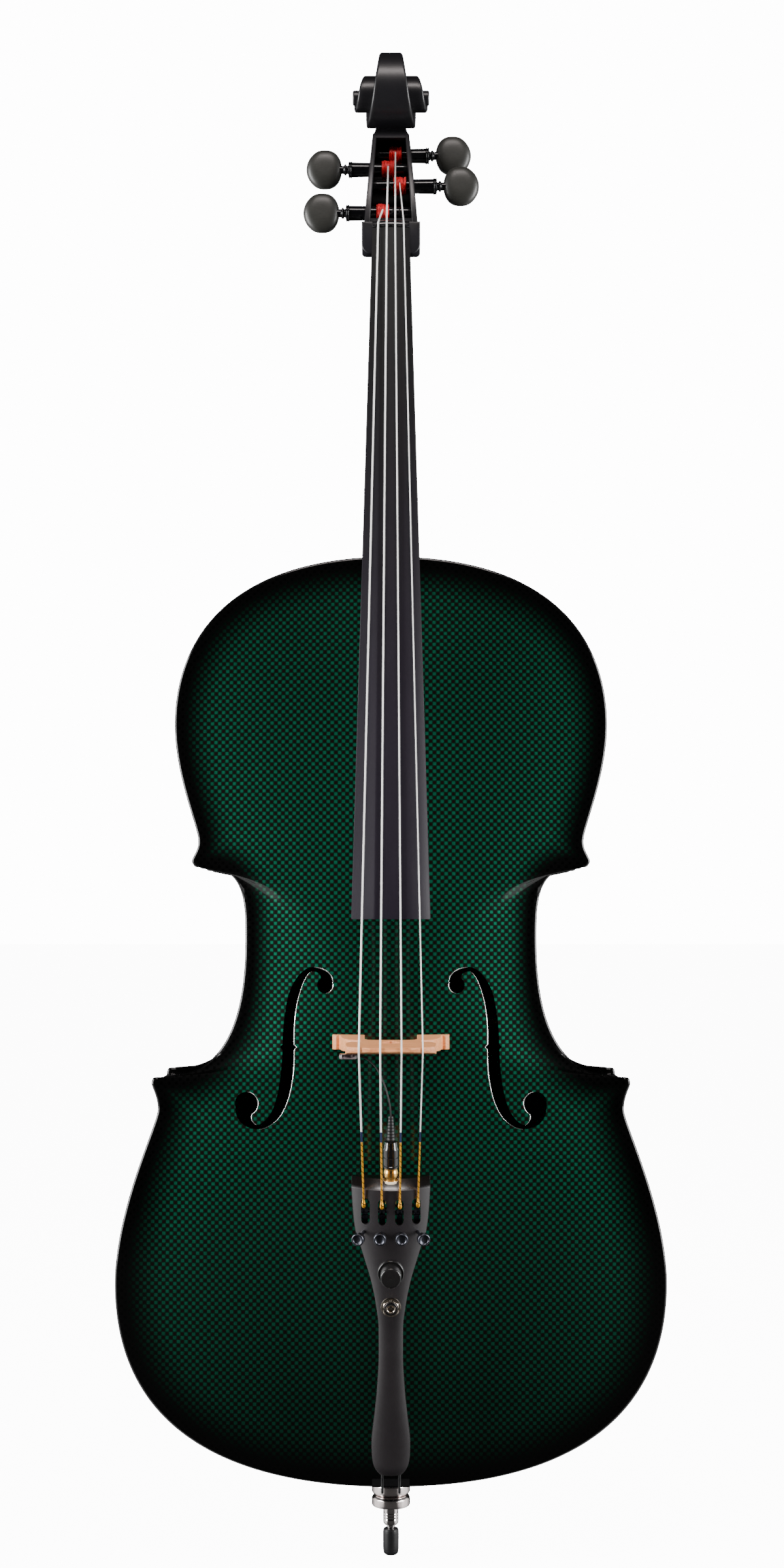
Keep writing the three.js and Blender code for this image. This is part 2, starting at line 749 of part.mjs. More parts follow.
// The two cheeks stand on each side of the nut, with rounded lower corners.
function cheeks() {
  const half = cheekWidth / 2;
  const low = nutZ - cheekDrop;
  const high = nutZ + cheekRise;
  const outline = [[-half, high], [-half, low + cheekRound]];
  outline.push(...curve([-half, low + cheekRound], [-half, low], [-half, low], [-half + cheekRound, low], 3));
  outline.push(...curve([half - cheekRound, low], [half, low], [half, low], [half, low + cheekRound], 3));
  outline.push([half, high]);
  const front = boardBaseY(nutZ - cheekDrop) + seat;
  return slab(outline, front, front + cheekDepth);
}

// Scroll
// The volute's outer radius and half width at each eighth or quarter turn, as shares of the largest.
const voluteShares = [
  [0, 0.958, 0.27], [45, 0.99, 0.27], [90, 1, 0.275], [135, 0.94, 0.33], [180, 0.853, 0.43],
  [225, 0.76, 0.54], [270, 0.68, 0.63], [315, 0.625, 0.65], [360, 0.577, 0.665], [450, 0.501, 0.7],
  [540, 0.415, 0.84], [630, 0.333, 0.94], [720, 0.244, 0.98],
];
const voluteStepDegrees = 22.5;
const eyeRadiusShare = 0.165;

function voluteAt(degrees) {
  const next = voluteShares.findIndex(([angle]) => angle >= degrees);
  if (next <= 0) return voluteShares[0].slice(1);
  const [a, b] = [voluteShares[next - 1], voluteShares[next]];
  const share = (degrees - a[0]) / (b[0] - a[0]);
  return [mix(a[1], b[1], share), mix(a[2], b[2], share)];
}

const voluteHalfTurns = [0, 180, 360, 540];

// Half a turn of the volute: a wedge from near the axis out to the rim, fluted on the rim.
function voluteWedge(fromDegrees) {
  const rings = [];
  const core = eyeRadiusShare * scrollRadius * 0.4;
  for (let degrees = fromDegrees; degrees <= fromDegrees + 180; degrees += voluteStepDegrees) {
    const [radiusShare, widthShare] = voluteAt(degrees);
    const radius = radiusShare * scrollRadius;
    const half = widthShare * scrollHalfWidth;
    const right = [[core, half], [mix(core, radius, 0.6), half - scrollHollow],
      [radius - scrollChamfer, half], [radius, half - scrollChamfer], [radius - spineFlute, half / 2]];
    const section = [...right, [radius, 0], ...[...right].reverse().map(([r, x]) => [r, -x])];
    const angle = THREE.MathUtils.degToRad(degrees);
    rings.push(section.map(([r, x]) =>
      new THREE.Vector3(x, eyeY + r * Math.cos(angle), eyeZ + r * Math.sin(angle))));
  }
  return loft(rings);
}

function scrollEye() {
  const radius = eyeRadiusShare * scrollRadius;
  const half = scrollHalfWidth;
  const eye = turned([[0, -half], [radius - scrollChamfer, -half], [radius, -half + scrollChamfer],
    [radius, half - scrollChamfer], [radius - scrollChamfer, half], [0, half]], 16);
  return eye.rotateY(Math.PI / 2).translate(0, eyeY, eyeZ);
}

// Pegs
// Each peg has the side of its thumb piece, its axis behind the origin and above the nut and its bare length
// outside the cheek as shares of the head's length, and its winding's middle as a share of the pegbox's width.
const pegShares = {
  c: { side: -1, back: -0.26, up: 0.143, outside: 0.105, winding: -0.224 },
  g: { side: -1, back: -0.13, up: 0.4755, outside: 0.118, winding: -0.08 },
  d: { side: 1, back: -0.0535, up: 0.5963, outside: 0.101, winding: 0.122 },
  a: { side: 1, back: -0.191, up: 0.344, outside: 0.128, winding: 0.24 },
};
const pegPlaces = Object.fromEntries(Object.entries(pegShares).map(([name, shares]) => [name, {
  side: shares.side,
  y: shares.back * headLength,
  rise: shares.up * headLength,
  outside: shares.outside * headLength,
  windingX: shares.winding * pegboxUpperWidth,
}]));

const pegRadiusAt = (reach, ringReach) =>
  mix(pegRingDiameter, pegEndDiameter, (ringReach - reach) / (2 * ringReach)) / 2;

// A peg's axis is X; positions along it are measured towards the thumb piece.
function pegReaches(place) {
  const half = pegboxHalfWidth(nutZ + place.rise);
  return { far: -half + seat, ring: half + place.outside, near: half };
}

function pegGeometry(place) {
  const { far, ring } = pegReaches(place);
  const neckStart = ring + pegCollarLength;
  const thumbStart = neckStart + pegNeckLength;
  const profile = [
    [0, far], [pegRadiusAt(far, ring), far], [pegRingDiameter / 2, ring],
    [pegCollarDiameter / 2, ring + seat], [pegCollarDiameter / 2, neckStart - seat],
    [pegNeckDiameter / 2, neckStart + seat], [pegNeckDiameter / 2, mix(neckStart, thumbStart, 0.3)],
    [pegBeadDiameter / 2, mix(neckStart, thumbStart, 0.5)],
    [pegNeckDiameter / 2, mix(neckStart, thumbStart, 0.7)],
    [pegNeckDiameter / 2, thumbStart + seat * 2], [0, thumbStart + seat * 2],
  ];
  const shaft = turned(profile, pegSides).rotateY(Math.PI / 2);
  const thumbShares = [[-1, 0.62], [-0.72, 0.88], [-0.25, 1], [0.25, 1], [0.72, 0.88], [1, 0.62]];
  const thumb = loft(thumbShares.map(([depth, size]) => Array.from({ length: thumbSides }, (_, k) => {
    const angle = (k / thumbSides) * 2 * Math.PI;
    return new THREE.Vector3(thumbStart + thumbLength / 2 + size * (thumbLength / 2) * Math.cos(angle),
      depth * (thumbThickness / 2), size * (thumbHeight / 2) * Math.sin(angle));
  })));
  const peg = toGeometry(join(shaft, thumb));
  if (place.side < 0) peg.rotateZ(Math.PI);
  return peg.translate(0, place.y, nutZ + place.rise);
}

function pegHole(place) {
  const { far, ring, near } = pegReaches(place);
  const radius = (reach) => holeRadius(pegRadiusAt(reach, ring), pegSides, runningPlay);
  const hole = turned([[0, far - overrun], [radius(far - overrun), far - overrun],
    [radius(near + overrun), near + overrun], [0, near + overrun]], pegSides).rotateY(Math.PI / 2);
  if (place.side < 0) hole.rotateZ(Math.PI);
  return hole.translate(0, place.y, nutZ + place.rise);
}

// The winding is one unbroken helix of thread on the peg's shaft.
function windingRadius(place) {
  const { ring } = pegReaches(place);
  const reach = place.side * place.windingX + (windingLoops * windingPitch) / 2;
  return (pegRadiusAt(reach, ring) + windingThread / 2) / Math.cos(Math.PI / windingSteps) + seat;
}

function windingCentres(place) {
  const radius = windingRadius(place);
  const total = windingLoops * windingSteps;
  return Array.from({ length: total + 1 }, (_, i) => {
    const angle = (i / windingSteps) * 2 * Math.PI;
    const x = place.windingX + (i / windingSteps - windingLoops / 2) * windingPitch;
    return { angle, centre: new THREE.Vector3(x, place.y + radius * Math.cos(angle),
      nutZ + place.rise + radius * Math.sin(angle)) };
  });
}

function winding(place) {
  const rings = windingCentres(place).map(({ angle, centre }) =>
    Array.from({ length: wireSides }, (_, k) => {
      const turn = (k / wireSides) * 2 * Math.PI;
      const radial = new THREE.Vector3(0, Math.cos(angle), Math.sin(angle));
      return centre.clone().addScaledVector(radial, (windingThread / 2) * Math.cos(turn))
        .add(new THREE.Vector3((windingThread / 2) * Math.sin(turn), 0, 0));
    }));
  return loft(rings);
}

function leastWindingGap(place) {
  const centres = windingCentres(place).map(({ centre }) => centre);
  let least = Infinity;
  for (let i = 0; i < centres.length; i++) {
    for (let j = i + windingSteps / 2; j < centres.length; j++) {
      least = Math.min(least, centres[i].distanceTo(centres[j]) - windingThread);
    }
  }
  return least;
}

// Build the body
const blockInset = overhang + ribThickness + seat;
const blockFront = ribFront + seat;
const blockBack = ribBack - seat;
const lifted = (loop) => loop.map(([x, z]) => [x, z + bodyZ]);
const innerLoop = lifted(inset(sharpLoop, blockInset));

const plugHole = (radius) => turned([[0, ribBottomZ - gutGroove], [radius, ribBottomZ - gutGroove],
  [radius, ribBottomZ + plugLength + overrun], [0, ribBottomZ + plugLength + overrun]]);
const plugHoleRadius = holeRadius(plugMouthDiameter / 2, roundSides, seat);

const saddleNotch = box(-saddleWidth / 2 - seat, saddleWidth / 2 + seat,
  ribFront - edgeThickness - topCrown, ribFront, bodyZ - overrun, bodyZ + saddleHeight + seat);

const topPlate = cut(plate(topCrown, -1), mortiseCutter(), saddleNotch)
  .subtract(fHoleCutter(-1)).subtract(fHoleCutter(1));
add("top_plate", topPlate, lacquer);

const buttonSteps = 12;
const button = slab(Array.from({ length: buttonSteps + 1 }, (_, k) => {
  const angle = (k / buttonSteps) * Math.PI;
  return [buttonRadius * Math.cos(angle), bodyTopZ - edgeRound + buttonRadius * Math.sin(angle)];
}).concat([[-buttonRadius, bodyTopZ - overhang * 2], [buttonRadius, bodyTopZ - overhang * 2]]),
ribBack + seat, ribBack + seat + edgeThickness);
const backPlate = join(plate(backCrown, 1), button);
add("back_plate", backPlate, lacquer);

// What stands on a plate is made a little too long and then cut back by the plate itself.
const fittedToTop = (geometry, gap) => toSolid(geometry).subtract(topPlate.translate([0, gap, 0]));
const fittedToBack = (solid, gap) => solid.subtract(backPlate.translate([0, gap, 0]));

const ribOuter = inset(sharpLoop, overhang);
const ribInner = inset(sharpLoop, overhang + ribThickness);

// A rib is a bent strip between two stations of the outline, trimmed a little at each end.
function rib(from, to, side) {
  const station = (index, share, loop) => {
    const a = loop[index];
    const b = loop[index + 1] ?? a;
    return [side * mix(a[0], b[0], share), bodyZ + mix(a[1], b[1], share)];
  };
  const trimAt = (index) => {
    const [a, b] = [ribOuter[index], ribOuter[index + 1]];
    return (seat / 2) / Math.hypot(b[0] - a[0], b[1] - a[1]);
  };
  const stations = [[from, trimAt(from)]];
  for (let i = from + 1; i < to; i++) stations.push([i, 0]);
  stations.push([to - 1, 1 - trimAt(to - 1)]);
  return loft(stations.map(([index, share]) => {
    const [outer, inner] = [station(index, share, ribOuter), station(index, share, ribInner)];
    return [[outer, blockFront], [outer, blockBack], [inner, blockBack], [inner, blockFront]]
      .map(([[x, z], y]) => new THREE.Vector3(x, y, z));
  }));
}

const lastIndex = sharpHalf.points.length - 1;
const ribRanges = {
  upper_rib: [0, sharpHalf.upperTipIndex],
  waist_rib: [sharpHalf.upperTipIndex, sharpHalf.lowerTipIndex],
  lower_rib: [sharpHalf.lowerTipIndex, lastIndex],
};
for (const [name, [from, to]] of Object.entries(ribRanges)) {
  for (const [sideName, side] of [["left", -1], ["right", 1]]) {
    let piece = toSolid(rib(from, to, side));
    if (from === 0) piece = piece.subtract(toSolid(mortiseCutter()));
    if (to === lastIndex) piece = piece.subtract(toSolid(plugHole(plugHoleRadius)));
    add(`${name}_${sideName}`, piece, edgeLacquer);
  }
}

// Blocks fill the inside of the ribs where these meet each other, the neck and the endpin.
const inside = toSolid(slab(innerLoop, blockFront, blockBack));
const blockBox = (halfWidth, low, high) =>
  toSolid(box(-halfWidth, halfWidth, blockFront - overrun, blockBack + overrun, low, high));
add("neck_block", inside.intersect(blockBox(neckBlockWidth / 2, bodyTopZ - overhang - neckBlockDepth,
  bodyTopZ)).subtract(toSolid(mortiseCutter())), spruce);
add("end_block", inside.intersect(blockBox(endBlockWidth / 2, bodyZ, ribBottomZ + endBlockDepth))
  .subtract(toSolid(plugHole(plugHoleRadius))), spruce);

function cornerBlock(tipIndex, before, after, side) {
  const outline = innerLoop.slice(tipIndex - before, tipIndex + after + 1).map(([x, z]) => [side * x, z]);
  return slab(outline, blockFront, blockBack);
}
for (const [sideName, side] of [["left", -1], ["right", 1]]) {
  add(`upper_corner_block_${sideName}`, cornerBlock(sharpHalf.upperTipIndex, 2, 3, side), spruce);
  add(`lower_corner_block_${sideName}`, cornerBlock(sharpHalf.lowerTipIndex, 3, 3, side), spruce);
}

// The bass bar is glued under the top plate, below the bridge's bass foot.
const barStationShares = [-0.5, -0.33, -0.16, 0, 0.16, 0.33, 0.5];
const innerTopY = (x, height) =>
  ribFront - Math.max(0, archAt(x, height, topCrown) + edgeThickness - plateThickness);
add("bass_bar", fittedToTop(loft(barStationShares.map((share) => {
  const height = bassBarCentreHeight + share * bassBarLength;
  const depth = bassBarDepth * (1 - 3 * share ** 2);
  const [outer, inner] = [-bassBarX - bassBarWidth / 2, -bassBarX + bassBarWidth / 2];
  const [outerY, innerY] = [innerTopY(outer, height), innerTopY(inner, height)];
  return [[outer, outerY - fitAllowance], [inner, innerY - fitAllowance], [inner, innerY + depth], [outer, innerY + depth]]
    .map(([x, y]) => new THREE.Vector3(x, y, bodyZ + height));
})), seat), spruce);

// The sound post stands between the plates, just below the bridge's treble foot.
const postFront = innerTopY(soundPostX, soundPostHeight) - fitAllowance;
const postBack = ribBack + archAt(soundPostX, soundPostHeight, backCrown)
  + edgeThickness - plateThickness + fitAllowance;
const post = turned([[0, -postBack], [soundPostRadius, -postBack], [soundPostRadius, -postFront],
  [0, -postFront]], smallSides).rotateX(Math.PI / 2).translate(soundPostX, 0, bodyZ + soundPostHeight);
add("sound_post", fittedToBack(fittedToTop(post, seat), -seat), spruce);

// Build the neck, fingerboard and nut
const neckSolid = join(neckShaft(), cheeks(), pegbox(), 
  ...voluteHalfTurns.map((start) => voluteWedge(start)), scrollEye());
const nutBaseY = boardBaseY(nutZ) + seat;
const cheekLow = nutZ - cheekDrop - overrun;
const nutSeat = sideSlab([[nutBaseY - neckLength, cheekLow], [boardBaseY(cheekLow) + seat, cheekLow],
  [nutBaseY, nutZ], [nutBaseY, nutZ + nutThickness + seat],
  [nutBaseY - neckLength, nutZ + nutThickness + seat]], -cheekWidth, cheekWidth);
const holes = Object.values(pegPlaces).map(pegHole);
add("neck", holes.reduce((solid, hole) => solid.subtract(toSolid(hole)),
  neckSolid.subtract(toSolid(pegboxCavity())).subtract(toSolid(nutSeat))), blackWood);

const boardArcShares = [-1, -0.42, -0.2, 0.05, 0.3, 0.55, 0.8, 1];
function boardRing(z, hollow) {
  const half = boardHalfWidth(z);
  const top = boardTopY(z);
  const arc = boardArcShares.map((share) => [share * half, top + boardSagitta(share * half)]);
  const base = boardBaseY(z);
  const under = [[half, base], [0.7 * half, base], [0.35 * half, base - hollow], [-0.35 * half, base - hollow],
    [-0.7 * half, base], [-half, base]];
  return [...arc, ...under].map(([x, y]) => new THREE.Vector3(x, y, z));
}
const boardHollowStart = bodyTopZ - overrun;
add("fingerboard", loft([boardRing(nutZ - seat, 0), boardRing(boardHollowStart, 0),
  boardRing(mix(boardHollowStart, boardEndZ, 0.15), boardHollow), boardRing(boardEndZ, boardHollow)]), blackWood);

const nutSection = (rise) => boardArcShares.map((share) => {
  const x = share * boardNutWidth / 2;
  return [x, boardNutY - rise + boardSagitta(x)];
});
const nutRing = (z, rise) => [...nutSection(rise), [boardNutWidth / 2, boardBaseY(nutZ)],
  [-boardNutWidth / 2, boardBaseY(nutZ)]].map(([x, y]) => new THREE.Vector3(x, y, z));
add("nut", loft([nutRing(nutZ, nutRise), nutRing(nutZ + nutCrownLength, nutRise),
  nutRing(nutZ + nutThickness, -nutBackDrop)]), blackWood);

// Build the bridge
// Half outline as shares of half the foot span and of the height above the plate.
const bridgeShares = [
  [0, 0.4], [0.16, 0.385], [0.3, 0.3], [0.37, 0.16], [0.4, 0.075], [0.445, 0.045], [0.445, 0], [1, 0],
  [1, 0.045], [0.88, 0.075], [0.78, 0.18], [0.72, 0.32], [0.74, 0.41], [0.6, 0.46], [0.55, 0.5],
  [0.62, 0.54], [0.78, 0.56], [0.81, 0.66], [0.79, 0.78],
];
const bridgeCrownShares = [0.775, 0.6, 0.4, 0.2, 0];
const heartShares = { up: 0.66, wide: 0.14, tall: 0.085 };
const heartSides = 14;
const frontFacingShare = 0.12;
const tailBevelShare = 0.28;
const bridgeFootY = ribFront - seat - edgeThickness;
const bridgeTailZ = bridgeZ - bridgeFootThickness / 2;
const crownTailZ = bridgeTailZ + bridgeTailBevel;
const bridgeHalfSpan = bridgeFootSpan / 2;
const crownTop = bridgeFootY - archAt(0, bridgeLineHeight, topCrown) - bridgeHeight;
const bridgeCrownY = (x) => crownTop + bridgeTopRadius - Math.sqrt(bridgeTopRadius ** 2 - x ** 2);

function bridgePoint([out, up]) {
  const x = out * bridgeHalfSpan;
  const base = bridgeFootY - archAt(x, bridgeLineHeight, topCrown) + fitAllowance;
  return [x, mix(base, crownTop, up)];
}

function bridge() {
  const right = [...bridgeShares.map(bridgePoint),
    ...bridgeCrownShares.map((share) => [share * bridgeHalfSpan, bridgeCrownY(share * bridgeHalfSpan)])];
  const left = right.slice(1, -1).reverse().map(([x, y]) => [-x, y]);
  const shape = new THREE.Shape([...right, ...left].map(([x, y]) => new THREE.Vector2(x, y)));
  const solid = new THREE.ExtrudeGeometry(shape, { depth: bridgeFootThickness, bevelEnabled: false });
  solid.translate(0, 0, bridgeTailZ);
  const heartY = mix(bridgeFootY, crownTop, heartShares.up);
  const heart = turned([[0, -bridgeFootThickness], [1, -bridgeFootThickness], [1, bridgeFootThickness * 2],
    [0, bridgeFootThickness * 2]], heartSides);
  heart.scale(bridgeHalfSpan * heartShares.wide, bridgeHeight * heartShares.tall, 1);
  heart.translate(0, heartY, bridgeTailZ);
  const frontZ = bridgeTailZ + bridgeFootThickness;
  const frontStart = bridgeFootY - topCrown - bridgeHeight * frontFacingShare;
  const tailStart = crownTop + bridgeHeight * tailBevelShare;
  const frontWedge = sideSlab([[frontStart, frontZ + seat], [frontStart, frontZ],
    [crownTop, crownTailZ + bridgeTopThickness], [crownTop - overrun, crownTailZ + bridgeTopThickness],
    [crownTop - overrun, frontZ + seat]], -bridgeFootSpan, bridgeFootSpan);
  const tailWedge = sideSlab([[tailStart, bridgeTailZ - seat], [crownTop - overrun, bridgeTailZ - seat],
    [crownTop - overrun, crownTailZ], [crownTop, crownTailZ], [tailStart, bridgeTailZ]],
    -bridgeFootSpan, bridgeFootSpan);
  return cut(fittedToTop(solid, -seat), frontWedge, tailWedge, heart);
}
add("bridge", bridge(), maple);

// The tailpiece and all that it carries lie in one tilted frame: Z runs up its length, -Y out of its face.
const tail = new THREE.Group();
tail.position.set(0, tailFootY, tailFootZ);
tail.rotation.x = Math.atan2(tailFootY - tailHeadY, tailHeadZ - tailFootZ);
const tailLength = Math.hypot(tailFootY - tailHeadY, tailHeadZ - tailFootZ);
cello.add(tail);

// Half width of the tailpiece as shares of its length and of its half width at the head.
const tailOutlineShares = [
  [0, 0.27], [0.012, 0.36], [0.035, 0.45], [0.07, 0.49], [0.11, 0.497], [0.2, 0.43], [0.3, 0.355],
  [0.42, 0.31], [0.52, 0.312], [0.6, 0.38], [0.68, 0.5], [0.76, 0.68], [0.815, 0.81], [0.85, 0.9], [0.93, 0.97],
  [1, 1],
];
const tailHalf = (share) => {
  const next = Math.max(tailOutlineShares.findIndex(([at]) => at >= share), 1);
  const [a, b] = [tailOutlineShares[next - 1], tailOutlineShares[next]];
  return tailHeadHalfWidth * mix(a[1], b[1], (share - a[0]) / (b[0] - a[0]));
};
const tailDepthAt = (share) => mix(tailFootDepth, tailHeadDepth, Math.min(1, Math.max(0, share)));
const archSteps = 6;

function tailRing(z, half, sink, depth) {
  const arc = Array.from({ length: archSteps + 1 }, (_, i) => {
    const share = (2 * i) / archSteps - 1;
    return [share * half, sink + tailArchShare * half * share ** 2];
  });
  return [...arc, [half, depth], [-half, depth]].map(([x, y]) => new THREE.Vector3(x, y, z));
}

const footLipShare = 0.16;
function tailShell() {
  const rings = tailOutlineShares.map(([share]) => {
    const lip = share === 0 ? tailFootDepth * footLipShare : 0;
    return tailRing(share * tailLength, tailHalf(share), lip, tailDepthAt(share) - lip);
  });
  const head = tailRing(tailLength + tailBevelLength, tailHeadHalfWidth, tailBevelDepth, tailHeadDepth);
  rings.push(head);
  const hollowShares = [0.12, 0.2, 0.3, 0.47, 0.6, 0.68, 0.76, 0.86, 0.97];
  const hollow = loft(hollowShares.map((share) => tailRing(share * tailLength, tailHalf(share) - tailWall,
    tailTopWall, tailHeadDepth + overrun)));
  return cut(loft(rings), hollow);
}

// A round cutter or pin square to the tailpiece's face; depths grow inwards from the crown.
const pinFromFace = (x, z, radius, from, to, sides = smallSides) =>
  turned([[0, -to], [radius, -to], [radius, -from], [0, -from]], sides).rotateX(Math.PI / 2).translate(x, 0, z);

const faceSinkAt = (x, z) => {
  const half = tailHalf(Math.min(1, z / tailLength));
  return tailArchShare * half * (x / half) ** 2;
};

const strings = stringDiameters.map((diameter, index) => ({
  name: ["c", "g", "d", "a"][index],
  radius: diameter / 2,
  place: index - stringCentre,
}));

// Each screw leans outwards: its tip is over its lever, and its head stands wider than the slots.
const slotXOf = ({ place }) => place * slotSpacing;
const screwLean = ({ place }) =>
  Math.atan((place * (tunerHeadSpacing - slotSpacing)) / (leverDepth + tunerHeadRise));
const alongScrew = (geometry, string) =>
  geometry.rotateX(Math.PI / 2).rotateZ(screwLean(string)).translate(slotXOf(string), leverDepth, screwZ);
const socketFaceZ = tailLength + tailBevelLength - plugRecessDepth;
const screwZ = tailLength - tunerScrewDrop;
const axleZ = tailLength - leverAxleDrop;
const axleDepth = leverDepth + leverThickness / 2;
const forkZ = axleZ + forkOffset;
const axleHalf = tailHalf(axleZ / tailLength) - tailWall / 2;
const gutDepth = tailFootDepth * 0.58;

function tailpiece() {
  const tools = [];
  const screwHole = holeRadius(tunerScrewDiameter / 2, smallSides, runningPlay);
  for (const string of strings) {
    const slotX = slotXOf(string);
    tools.push(box(slotX - slotWidth / 2, slotX + slotWidth / 2, -overrun, tailHeadDepth + overrun,
      tailLength - slotBottom, tailLength - slotTop));
    tools.push(alongScrew(turned([[0, 0], [screwHole, 0],
      [screwHole, leverDepth + overrun], [0, leverDepth + overrun]], smallSides), string));
  }
  const axleRadius = holeRadius(leverAxleDiameter / 2, smallSides, runningPlay);
  tools.push(turned([[0, -axleHalf], [axleRadius, -axleHalf], [axleRadius, axleHalf], [0, axleHalf]], smallSides)
    .rotateY(Math.PI / 2).translate(0, axleDepth, axleZ));
  tools.push(pinFromFace(0, knobHeight, holeRadius(potShaftDiameter / 2, roundSides, runningPlay),
    -overrun, tailHeadDepth, roundSides));
  tools.push(pinFromFace(0, jackHeight, holeRadius(jackSleeveDiameter / 2, roundSides, seat),
    -overrun, tailHeadDepth, roundSides));
  const socketHole = holeRadius(socketDiameter / 2, roundSides, seat);
  const recess = holeRadius(plugRimDiameter / 2, roundSides, seat);
  const beyondHead = tailLength + tailBevelLength + overrun;
  tools.push(turned([[0, socketFaceZ - socketLength - overrun], [socketHole, socketFaceZ - socketLength - overrun],
    [socketHole, socketFaceZ], [recess, socketFaceZ], [recess, beyondHead], [0, beyondHead]])
    .translate(0, plugAxisDepth, 0));
  tools.push(box(-recess, recess, plugAxisDepth, tailHeadDepth + overrun, socketFaceZ, beyondHead));
  const gutHole = holeRadius(gutDiameter / 2, smallSides, seat);
  for (const side of [-1, 1]) {
    tools.push(turned([[0, -overrun], [gutHole, -overrun], [gutHole, gutHoleDepth], [0, gutHoleDepth]], smallSides)
      .translate(side * gutSpacing / 2, gutDepth, 0));
  }
  return tools.reduce((solid, tool) => solid.subtract(toSolid(tool)), tailShell());
}
add("tailpiece", tailpiece(), moulded, tail);

// Fine tuners
const leverHole = () => turned([[0, -axleHalf], [holeRadius(leverAxleDiameter / 2, smallSides, runningPlay), -axleHalf],
  [holeRadius(leverAxleDiameter / 2, smallSides, runningPlay), axleHalf], [0, axleHalf]], smallSides)
  .rotateY(Math.PI / 2).translate(0, axleDepth, axleZ);

// An L-shaped lever: the arm runs under the screw, the fork stands up in the slot behind the string's end.
function tunerLever(string) {
  const slotX = slotXOf(string);
  const stringX = string.place * tailSpacing;
  const half = leverWidth / 2;
  const middle = mix(slotX, stringX, leverShare);
  const forkTop = forkZ + forkThickness / 2;
  const arm = box(middle - half, middle + half, leverDepth, leverDepth + leverThickness, screwZ - leverPadReach, forkTop);
  const forkRoot = leverDepth + leverThickness / 2;
  const forkHead = faceSinkAt(slotX, forkZ) - forkRise;
  const fork = box(middle - half, middle + half, forkHead, forkRoot, forkZ - forkThickness / 2, forkTop);
  const notch = box(stringX - forkNotch / 2, stringX + forkNotch / 2, forkHead - overrun, forkHead + forkNotchDepth,
    forkZ - forkThickness, forkTop + overrun);
  const hub = turned([[0, middle - half], [leverHubRadius, middle - half], [leverHubRadius, middle + half],
    [0, middle + half]], smallSides).rotateY(Math.PI / 2).translate(0, axleDepth, axleZ);
  return cut(join(arm, fork, hub), leverHole(), notch);
}

function tunerScrew(string) {
  const top = (leverDepth + tunerHeadRise) / Math.cos(screwLean(string));
  const headBase = top - tunerHeadLength;
  const collarBase = headBase - tunerHeadLength / 2;
  const shaft = tunerScrewDiameter / 2;
  const head = tunerHeadDiameter / 2;
  const tip = seat + shaft * Math.abs(Math.tan(screwLean(string)));
  return alongScrew(turned([[0, tip], [shaft, tip], [shaft, collarBase], [tunerCollarDiameter / 2, collarBase],
    [tunerCollarDiameter / 2, headBase], [head, headBase + seat], [head, top - 2 * seat], [head - seat, top],
    [head * headDishShare, top], [0, top - tunerHeadLength * headDishDepthShare]], pegSides), string);
}

for (const string of strings) {
  add(`tuner_lever_${string.name}`, tunerLever(string), chrome, tail);
  add(`tuner_screw_${string.name}`, tunerScrew(string), chrome, tail);
}
const axlePin = leverAxleDiameter / 2;
add("tuner_axle", turned([[0, -axleHalf + seat], [axlePin, -axleHalf + seat], [axlePin, axleHalf - seat],
  [0, axleHalf - seat]], smallSides).rotateY(Math.PI / 2).translate(0, axleDepth, axleZ), chrome, tail);

// Volume control: the potentiometer hangs under the tailpiece's top wall with its shaft up into the knob.
const potHalfShare = tailHalf(knobHeight / tailLength) - tailWall;
const potTop = tailTopWall + tailArchShare * potHalfShare * (potDiameter / 2 / potHalfShare) ** 2 + seat;
const shaftTop = -knobLength * 0.6;
const potBottom = -potTop - potLength;
const shaftRadius = potShaftDiameter / 2;
const potBore = holeRadius(shaftRadius, roundSides, runningPlay);
add("volume_pot", turned([[0, potBottom], [potDiameter / 2, potBottom], [potDiameter / 2, -potTop],
  [potBore, -potTop], [potBore, mix(potBottom, -potTop, potBoreShare)], [0, mix(potBottom, -potTop, potBoreShare)]])
  .rotateX(Math.PI / 2).translate(0, 0, knobHeight), chrome, tail);
add("volume_shaft", turned([[0, mix(potBottom, -potTop, potBoreShare) + seat],
  [shaftRadius, mix(potBottom, -potTop, potBoreShare) + seat], [shaftRadius, -shaftTop], [0, -shaftTop]])
  .rotateX(Math.PI / 2).translate(0, 0, knobHeight), chrome, tail);
const knobRadius = knobDiameter / 2;
const knobBore = holeRadius(potShaftDiameter / 2, roundSides, runningPlay);
add("volume_knob", turned([[knobBore, seat], [knobFlangeDiameter / 2, seat],
  [knobFlangeDiameter / 2, knobFlangeLength - 2 * seat], [knobFlangeDiameter / 2 - 2 * seat, knobFlangeLength],
  [knobRadius + 2 * seat, knobFlangeLength], [knobRadius, knobFlangeLength - 2 * seat],
  [knobRadius, knobLength - 3 * seat], [knobRadius - 3 * seat, knobLength], [0, knobLength],
  [0, -shaftTop + seat], [knobBore, -shaftTop + seat], [knobBore, seat]])
  .rotateX(Math.PI / 2).translate(0, 0, knobHeight), moulded, tail);

